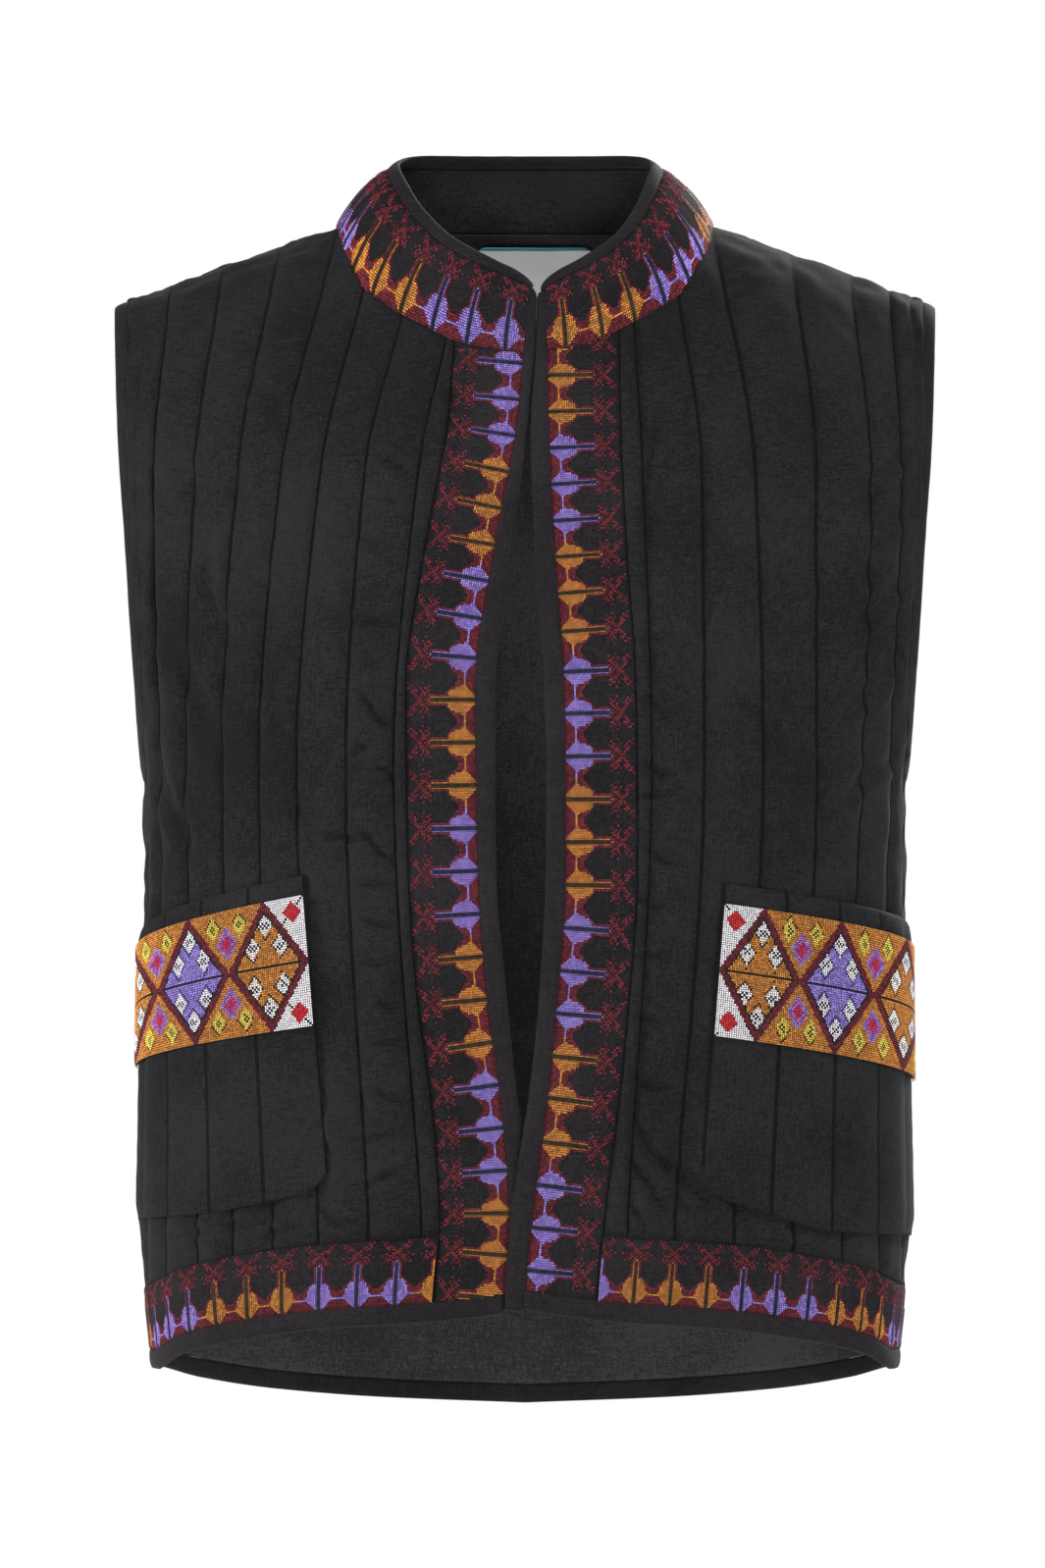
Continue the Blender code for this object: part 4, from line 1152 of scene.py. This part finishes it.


# Embroidery. Every cross-stitch is two raised strands, worked from drawn charts.
stitchLook = {
    "cell": 1.12,  # a stitch's width
    "strand": 0.18,  # a strand's half width, as a share of its length
    "darkStrand": 0.36,  # the same for the dark lines, worked as close satin
    "heights": (0.3, 0.5),  # of the strand underneath and the one over it
    "ends": 0.2,  # how much of that height a strand has at its ends, and at its edges
    "edges": 0.3,
    "short": 0.08,  # how far a strand stops short of the stitch's corners
    "lightShare": 0.45,  # how many strands catch the light
    "bold": 2.7,  # how many rows a stitch of the dark middle covers
    "boldLift": 0.26,
    "bandStart": {right: -66.0, left: -53.7},  # height of the first motif on a front band
    "bandPitch": ((160.0, 18.4), (235.0, 21.8)),
    "hemPitch": {right: 20.0, left: 18.5},
    "hemCount": 15,
    "collarPitch": 21.0,
    "rows": 18,  # stitches from one motif to the next
}
# A motif from its middle row outwards, each row from the base to the tip:
# V is the motif's own thread, N its dark middle, M maroon.
motifChart = [
    "NNNNNNNNNNNNNNNNNNNNNVMM.MM.....",
    "VVVVVVVVVVVVVVVVVVVVVMM.MMMM....",
    "MVVVVVVVVVVVVMMMMMMMMM.MMM.MM...",
    "MMVVVVVVVVVVVM........MMM...MM..",
    "MMMVVVVVVVVVM........MM.M..MMM..",
    "MMMMVVVVVVMM..........MM.M..M.MM",
    "MMMMMVVMMMM..........M.......MM.",
    "MMMMMVMMMM..............M......M",
    "MMMMMVMMM.......................",
    "MMMMMVMMM.......................",
]
motifHeight = len(motifChart[0]) * stitchLook["cell"]
motifGroup = 3
motifThreads = ("violet", "mustard")
darkMiddle = {"violet": "navy", "mustard": "brown"}


def flicker(number, salt):
    # a share from 0 to 1 that jumps from one number to the next
    return np.modf(np.abs(np.sin(number * 12.9898 + salt * 78.233)) * 43758.5453)[0]


def makeStitches(name, corners, normals, letters):
    # one cross for each four corners, as a mesh of its own over the cloth
    look = stitchLook
    strands, kinds = [], []
    names = sorted(set(letters))
    isDark = np.isin(names, list(darkMiddle.values()))
    which = np.array([names.index(letter) for letter in letters])
    for start, height in enumerate(look["heights"]):
        along = corners[:, start + 2] - corners[:, start]
        first = corners[:, start] + along * look["short"]
        last = corners[:, start + 2] - along * look["short"]
        breadth = np.where(isDark[which], look["darkStrand"], look["strand"])[:, None]
        aside = np.cross(normals, along) * breadth
        middle, lift = (first + last) / 2, normals * height
        low, edge = lift * look["ends"], lift * look["edges"]
        strands.append(np.stack([first + low, middle + aside + edge, last + low, middle - aside + edge,
                                 middle + lift], 1))
        kinds.append(which * 2 + (flicker(np.arange(len(which)), start) < look["lightShare"]))
    points = np.concatenate(strands).reshape(-1, 3)
    pattern = np.array([(1, 0, 4), (2, 1, 4), (3, 2, 4), (0, 3, 4)])
    faces = (np.arange(len(points) // 5)[:, None, None] * 5 + pattern).reshape(-1, 3)
    shades = [shade for letter in names for shade in threads[letter]]
    piece = addMesh(name, points, faces, shades, np.repeat(np.concatenate(kinds), len(pattern)))
    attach(piece, "root")


def stitchMotifs(name, place, first, count, turnOf):
    # motifs numbered along a line; place takes that number and the height over the motif's base,
    # and turnOf says whose turn it is among the motifs' threads
    look = stitchLook
    half = look["rows"] // 2
    cells = [(k, row, col, mark) for k in range(first, count) for row in range(1 - half, half + 1)
             for col, mark in enumerate(motifChart[abs(row)]) if mark != "."]
    number, row, col = (np.array(column(cells, k), float) for k in range(3))
    q, u = number + row / look["rows"], (col + 0.5) * look["cell"]
    dq, du = 0.5 / look["rows"], look["cell"] / 2
    _, normals, inside = place(q, u)
    bold = np.array([look["bold"] if mark == "N" else 1.0 for mark in column(cells, 3)])
    square = ((-1, -1), (1, -1), (1, 1), (-1, 1))
    corners = np.stack([place(q + a * dq * bold, u + b * du)[0] for a, b in square], 1)
    # the dark middle lies over the stitches beside it
    corners += (normals * (bold - 1)[:, None] * look["boldLift"])[:, None]
    mains = [motifThreads[turnOf(k) % 2] for k in column(cells, 0)]
    letters = [{"V": main, "N": darkMiddle[main], "M": "maroon"}[mark]
               for main, mark in zip(mains, column(cells, 3))]
    kept = np.flatnonzero(inside)
    makeStitches(name, corners[kept], normals[kept], [letters[k] for k in kept])


def bandPlace(side, base, across):
    # a place on a front band's face, measured square to the seam beside the binding
    slope = (edgeX(side, base + 1, 1) - edgeX(side, base - 1, 1)) / 2
    away = across / np.hypot(1, slope)
    x = edgeX(side, base, 1) + side * away
    z = base - side * slope * away
    points, normals = bodyPoint(front, x, z, side), placeNormals(front, x, z, side)
    fromSeam = side * (x - edgeX(side, z, 1))
    rim = np.minimum(fromSeam, bandWidth[side] - fromSeam)
    low, high = hemHeight(front, x) + hem["binding"] + 1.0, neckCurve(np.abs(x)) - 1.1
    inside = (rim > 0.5) & (z > low) & (z < high)
    return points + normals * bandWall(rim, points)[..., None], normals, inside


def hemPlace(side, along, up):
    # a place on a hem band's face: how far it is from the front band, and over the band's lower edge
    shares = np.linspace(0, 1, 300)
    run = runLength(stripPoint(front, side, shares, body["seamGap"] + hem["band"] / 2))
    share = np.interp(along, run, shares)
    points = stripPoint(front, side, share, body["seamGap"] + hem["band"] - up)
    normals = placeNormals(front, points[..., 0], points[..., 2], side)
    rim = np.minimum(up, hem["band"] - up)
    inside = (rim > 0.3) & (along > 0.6) & (along < run[-1] - 0.6)
    return points + normals * bandWall(rim, points)[..., None], normals, inside


def collarPlace(along, up):
    # a place on the collar's face: how far it is along the neck seam, and up a motif that fills its height
    run = runLength(neckLine)

    def face(where, share):
        base = np.stack([np.interp(where, run, neckLine[:, k]) for k in range(3)], -1)
        return collarPoint(base, np.interp(where, run, neckTurn), share)

    share = np.maximum(up, 0.1) / motifHeight * (collarLook["fold"] - 0.015)
    points = face(along, share)
    sideways = face(along + 0.8, share) - face(along - 0.8, share)
    upwards = face(along, share + 0.02) - face(along, share - 0.02)
    normals = turnTo(unit(np.cross(sideways, upwards)), points * (1, 1, 0))
    inside = (share > 0.012) & (share < collarLook["fold"] - 0.02) & (along > 0.9) & (along < run[-1] - 0.9)
    return points + normals * collarWall(share, points)[..., None], normals, inside


def workBands():
    look = stitchLook
    for side, word, _ in sides:
        centres = [look["bandStart"][side]]
        while centres[-1] > -575:
            pitch = np.interp(-centres[-1], *zip(*look["bandPitch"]))
            centres.append(centres[-1] - float(pitch))
        centres = np.array([2 * centres[0] - centres[1]] + centres)

        def onBand(q, u):
            return bandPlace(side, np.interp(q + 1, np.arange(len(centres)), centres), u)

        def onHem(q, u):
            return hemPlace(side, q * look["hemPitch"][side], u * hem["band"] / motifHeight)

        # the right band begins with violet, the left one with mustard
        shift = 0 if side == right else 1
        stitchMotifs("frontStitches" + word, onBand, -1, len(centres) - 2, lambda k: k // motifGroup + shift)
        stitchMotifs("hemStitches" + word, onHem, 0, look["hemCount"],
                     lambda k: (k + 2) // motifGroup + 1 + shift)


def workCollar():
    total = runLength(neckLine)[-1]
    count = 2 * motifGroup * round(total / stitchLook["collarPitch"] / (2 * motifGroup))
    stitchMotifs("collarStitches", lambda q, u: collarPlace((q + 0.5) * total / count, u), 0, count,
                 lambda k: k // motifGroup)


# The pocket strips' pattern of large diamonds, in shares of a diamond's half width and half height
stripChart = {
    "wrap": 0.25,  # how far the diamonds follow the cloth round the side, rather than the front view
    "halfWidth": 20.9,
    "centres": ((21.0, "mustard"), (62.8, "violet"), (104.6, "mustard")),
    "border": (0.81, 0.865),  # where the dark line and the maroon border begin
    "small": ((0.0, 0.64), (0.36, 0.31)),  # the white diamonds
    "smallSize": 0.185,
    "heart": (0.0, 0.47, 0.29, 0.26),  # the magenta diamond: place, then half width and height
    "yellow": (0.35, 0.73, 0.17, 0.19),
    "corner": (6.5, 0.76, 5.0, 0.17),  # the red motif of the white corners
    "edge": 1.03,  # where a large diamond's maroon border ends
    "outline": 1.35,  # how far the dark outline of a small diamond reaches, and its dark dots
    "dots": 0.62,
    "hair": 0.03,  # half the width of the finest lines
}


def diamond(s, t, s0, t0, width, height):
    return np.abs(s - s0) / width + np.abs(t - t0) / height


def stripThread(s, t, odd):
    # which thread works the stitch at s millimetres from the inner end and t from -1 to 1
    look = stripChart
    half, edge, hair = look["halfWidth"], look["edge"], look["hair"]
    places = np.array(column(look["centres"], 0))
    nearest = np.abs(s[:, None] - places).argmin(1)
    main = np.array(column(look["centres"], 1))[nearest]
    across, up = (s - places[nearest]) / half, np.abs(t)
    inDiamond = np.abs(across) + up
    dark = np.array([darkMiddle[name] for name in main])
    found = np.where(inDiamond < 1, main, "mustard").astype(object)
    for s0, t0 in look["small"]:
        off = diamond(np.abs(across), up, s0, t0, look["smallSize"], look["smallSize"])
        outline = (off < look["outline"]) & (off > 1) & odd
        found[outline] = dark[outline]
        found[off < 1] = "white"
        dots = (off < look["dots"]) & odd & ((np.abs(np.abs(across) - s0) > hair) | (np.abs(up - t0) < hair))
        found[dots] = dark[dots]
    middle = (up < hair) & (inDiamond < 1)
    found[middle] = dark[middle]
    darkLine, border = look["border"]
    ring = (inDiamond > darkLine) & (inDiamond < border)
    found[ring] = dark[ring]
    found[(inDiamond >= border) & (inDiamond < edge)] = "maroon"

    meeting = np.array([places[0] + half * k for k in (-1, 1, 3, 5)])
    beside = np.abs(s - meeting[np.abs(s[:, None] - meeting).argmin(1)]) / half
    outside = inDiamond >= edge
    off = diamond(beside, up, *look["yellow"])
    found[outside & (off < 1.3) & (up > look["yellow"][1]) & odd] = "brown"
    found[outside & (off < 1)] = "yellow"
    found[outside & (off < 0.5) & odd] = "brown"
    off = diamond(beside, up, *look["heart"])
    found[outside & (off < 1)] = "violet"
    found[outside & (off < 0.8) & odd] = "magenta"
    found[outside & (off < 0.5)] = "magenta"
    found[outside & (off < 0.26)] = "red"

    corner = outside & (s < places[0])
    found[corner] = "white"
    found[corner & odd & (np.abs(up - 0.98 + s * 0.032) < 0.02)] = "navy"
    found[corner & (diamond(s, up, *look["corner"]) < 1)] = "red"
    return found


def workStrips():
    cell = stitchLook["cell"]
    for side, word, _ in sides:
        share = np.linspace(0, 1, 80)
        length = runLength(stripPlace(side, share, np.full(80, 0.5))[0])[-1]
        height = runLength(stripPlace(side, np.full(20, 0.5), np.linspace(0, 1, 20))[0])[-1]
        columns, rows = round(length / cell), round(height / cell)
        i, j = (grid.ravel() for grid in np.meshgrid(np.arange(columns), np.arange(rows), indexing="ij"))

        def face(across, up):
            place = np.clip(across / columns, 0.002, 0.998), np.clip(up / rows, 0.004, 0.996)
            points, normals = stripPlace(side, *place)
            return points + normals * pocketLook["stripCloth"], normals

        place, normals = face(i + 0.5, j + 0.5)
        corners = np.stack([face(i + a, j + b)[0] for a, b in ((0, 0), (1, 0), (1, 1), (0, 1))], 1)
        seen = np.abs(place[:, 0] - np.interp(j, (0, rows), (face(0, 0)[0][0], face(0, rows)[0][0])))
        along = mix(seen, (i + 0.5) / columns * length, stripChart["wrap"])
        letters = stripThread(along, (j + 0.5) / rows * 2 - 1, (i + j) % 2 == 0)
        makeStitches("pocketStitches" + word, corners, normals, list(letters))


workBands()
workCollar()
workStrips()
print("embroidery worked")


# Stage, lights and camera
studio = {
    "lensDistance": 18.0,  # a long lens: the photograph shows next to no perspective
    "frameHeight": 0.799,  # what the photograph's height covers there
    "sensor": 36,
    "aim": (-0.00125, -0.13, -0.2795),
    "floor": -0.82,
    "paper": (0.9, 0, 0.1, (0.88, 0.88, 0.88)),  # roughness, sheen, specular and colour of the floor
    "room": 0.33,  # light from above and below
    "horizon": 0.13,  # the white band all round, as the sine of its height
    "lamps": {  # place, size, strength
        "keyBox": ((1.5, -2.0, 2.4), (0.7, 0.9), 92),
        "frontBox": ((-0.1, -3.6, -1.1), (0.7, 1.4), 205),
        "sideBox": ((-2.6, -0.8, 0.2), (0.8, 1.6), 62),
        "backBox": ((1.6, 2.8, 1.6), (1.2, 1.4), 150),
    },
}


def makeStage():
    bpy.ops.mesh.primitive_plane_add(size=8, location=(0, 0, studio["floor"]))
    floor = bpy.context.object
    floor.name = "paleFloor"
    floor.data.materials.append(newMaterial("paleFloorPaper", *studio["paper"])[0])


def makeStudio():
    look = studio
    world = bpy.data.worlds.new("softRoom")
    bpy.context.scene.world = world
    world.use_nodes = True
    start = Wire(world.node_tree)
    place = start.node("ShaderNodeTexCoord", {}, {})
    slope = start.node("ShaderNodeSeparateXYZ", {}, {"Vector": place}, 2)
    strength = (slope.size() < look["horizon"]) * (1 - look["room"]) + look["room"]
    background = world.node_tree.nodes["Background"].inputs
    background["Color"].default_value = (1, 1, 1, 1)
    world.node_tree.links.new(strength.socket, background["Strength"])
    aim = Vector(look["aim"])
    for name, (place, size, watts) in look["lamps"].items():
        bpy.ops.object.light_add(type="AREA", location=place)
        lamp = bpy.context.object
        lamp.name = name
        lamp.data.shape = "RECTANGLE"
        lamp.data.size, lamp.data.size_y = size
        lamp.data.energy = watts
        lamp.rotation_euler = (aim - Vector(place)).to_track_quat("-Z", "Y").to_euler()
    bpy.ops.object.camera_add()
    camera = bpy.context.object
    camera.location = aim + Vector((0, -look["lensDistance"], 0))
    camera.rotation_euler = (math.pi / 2, 0, 0)
    camera.data.sensor_width = look["sensor"]
    camera.data.lens = look["sensor"] * look["lensDistance"] / look["frameHeight"]
    camera.data.clip_end = 60
    bpy.context.scene.camera = camera
    bpy.context.scene.view_settings.view_transform = "Standard"


makeStage()
makeStudio()
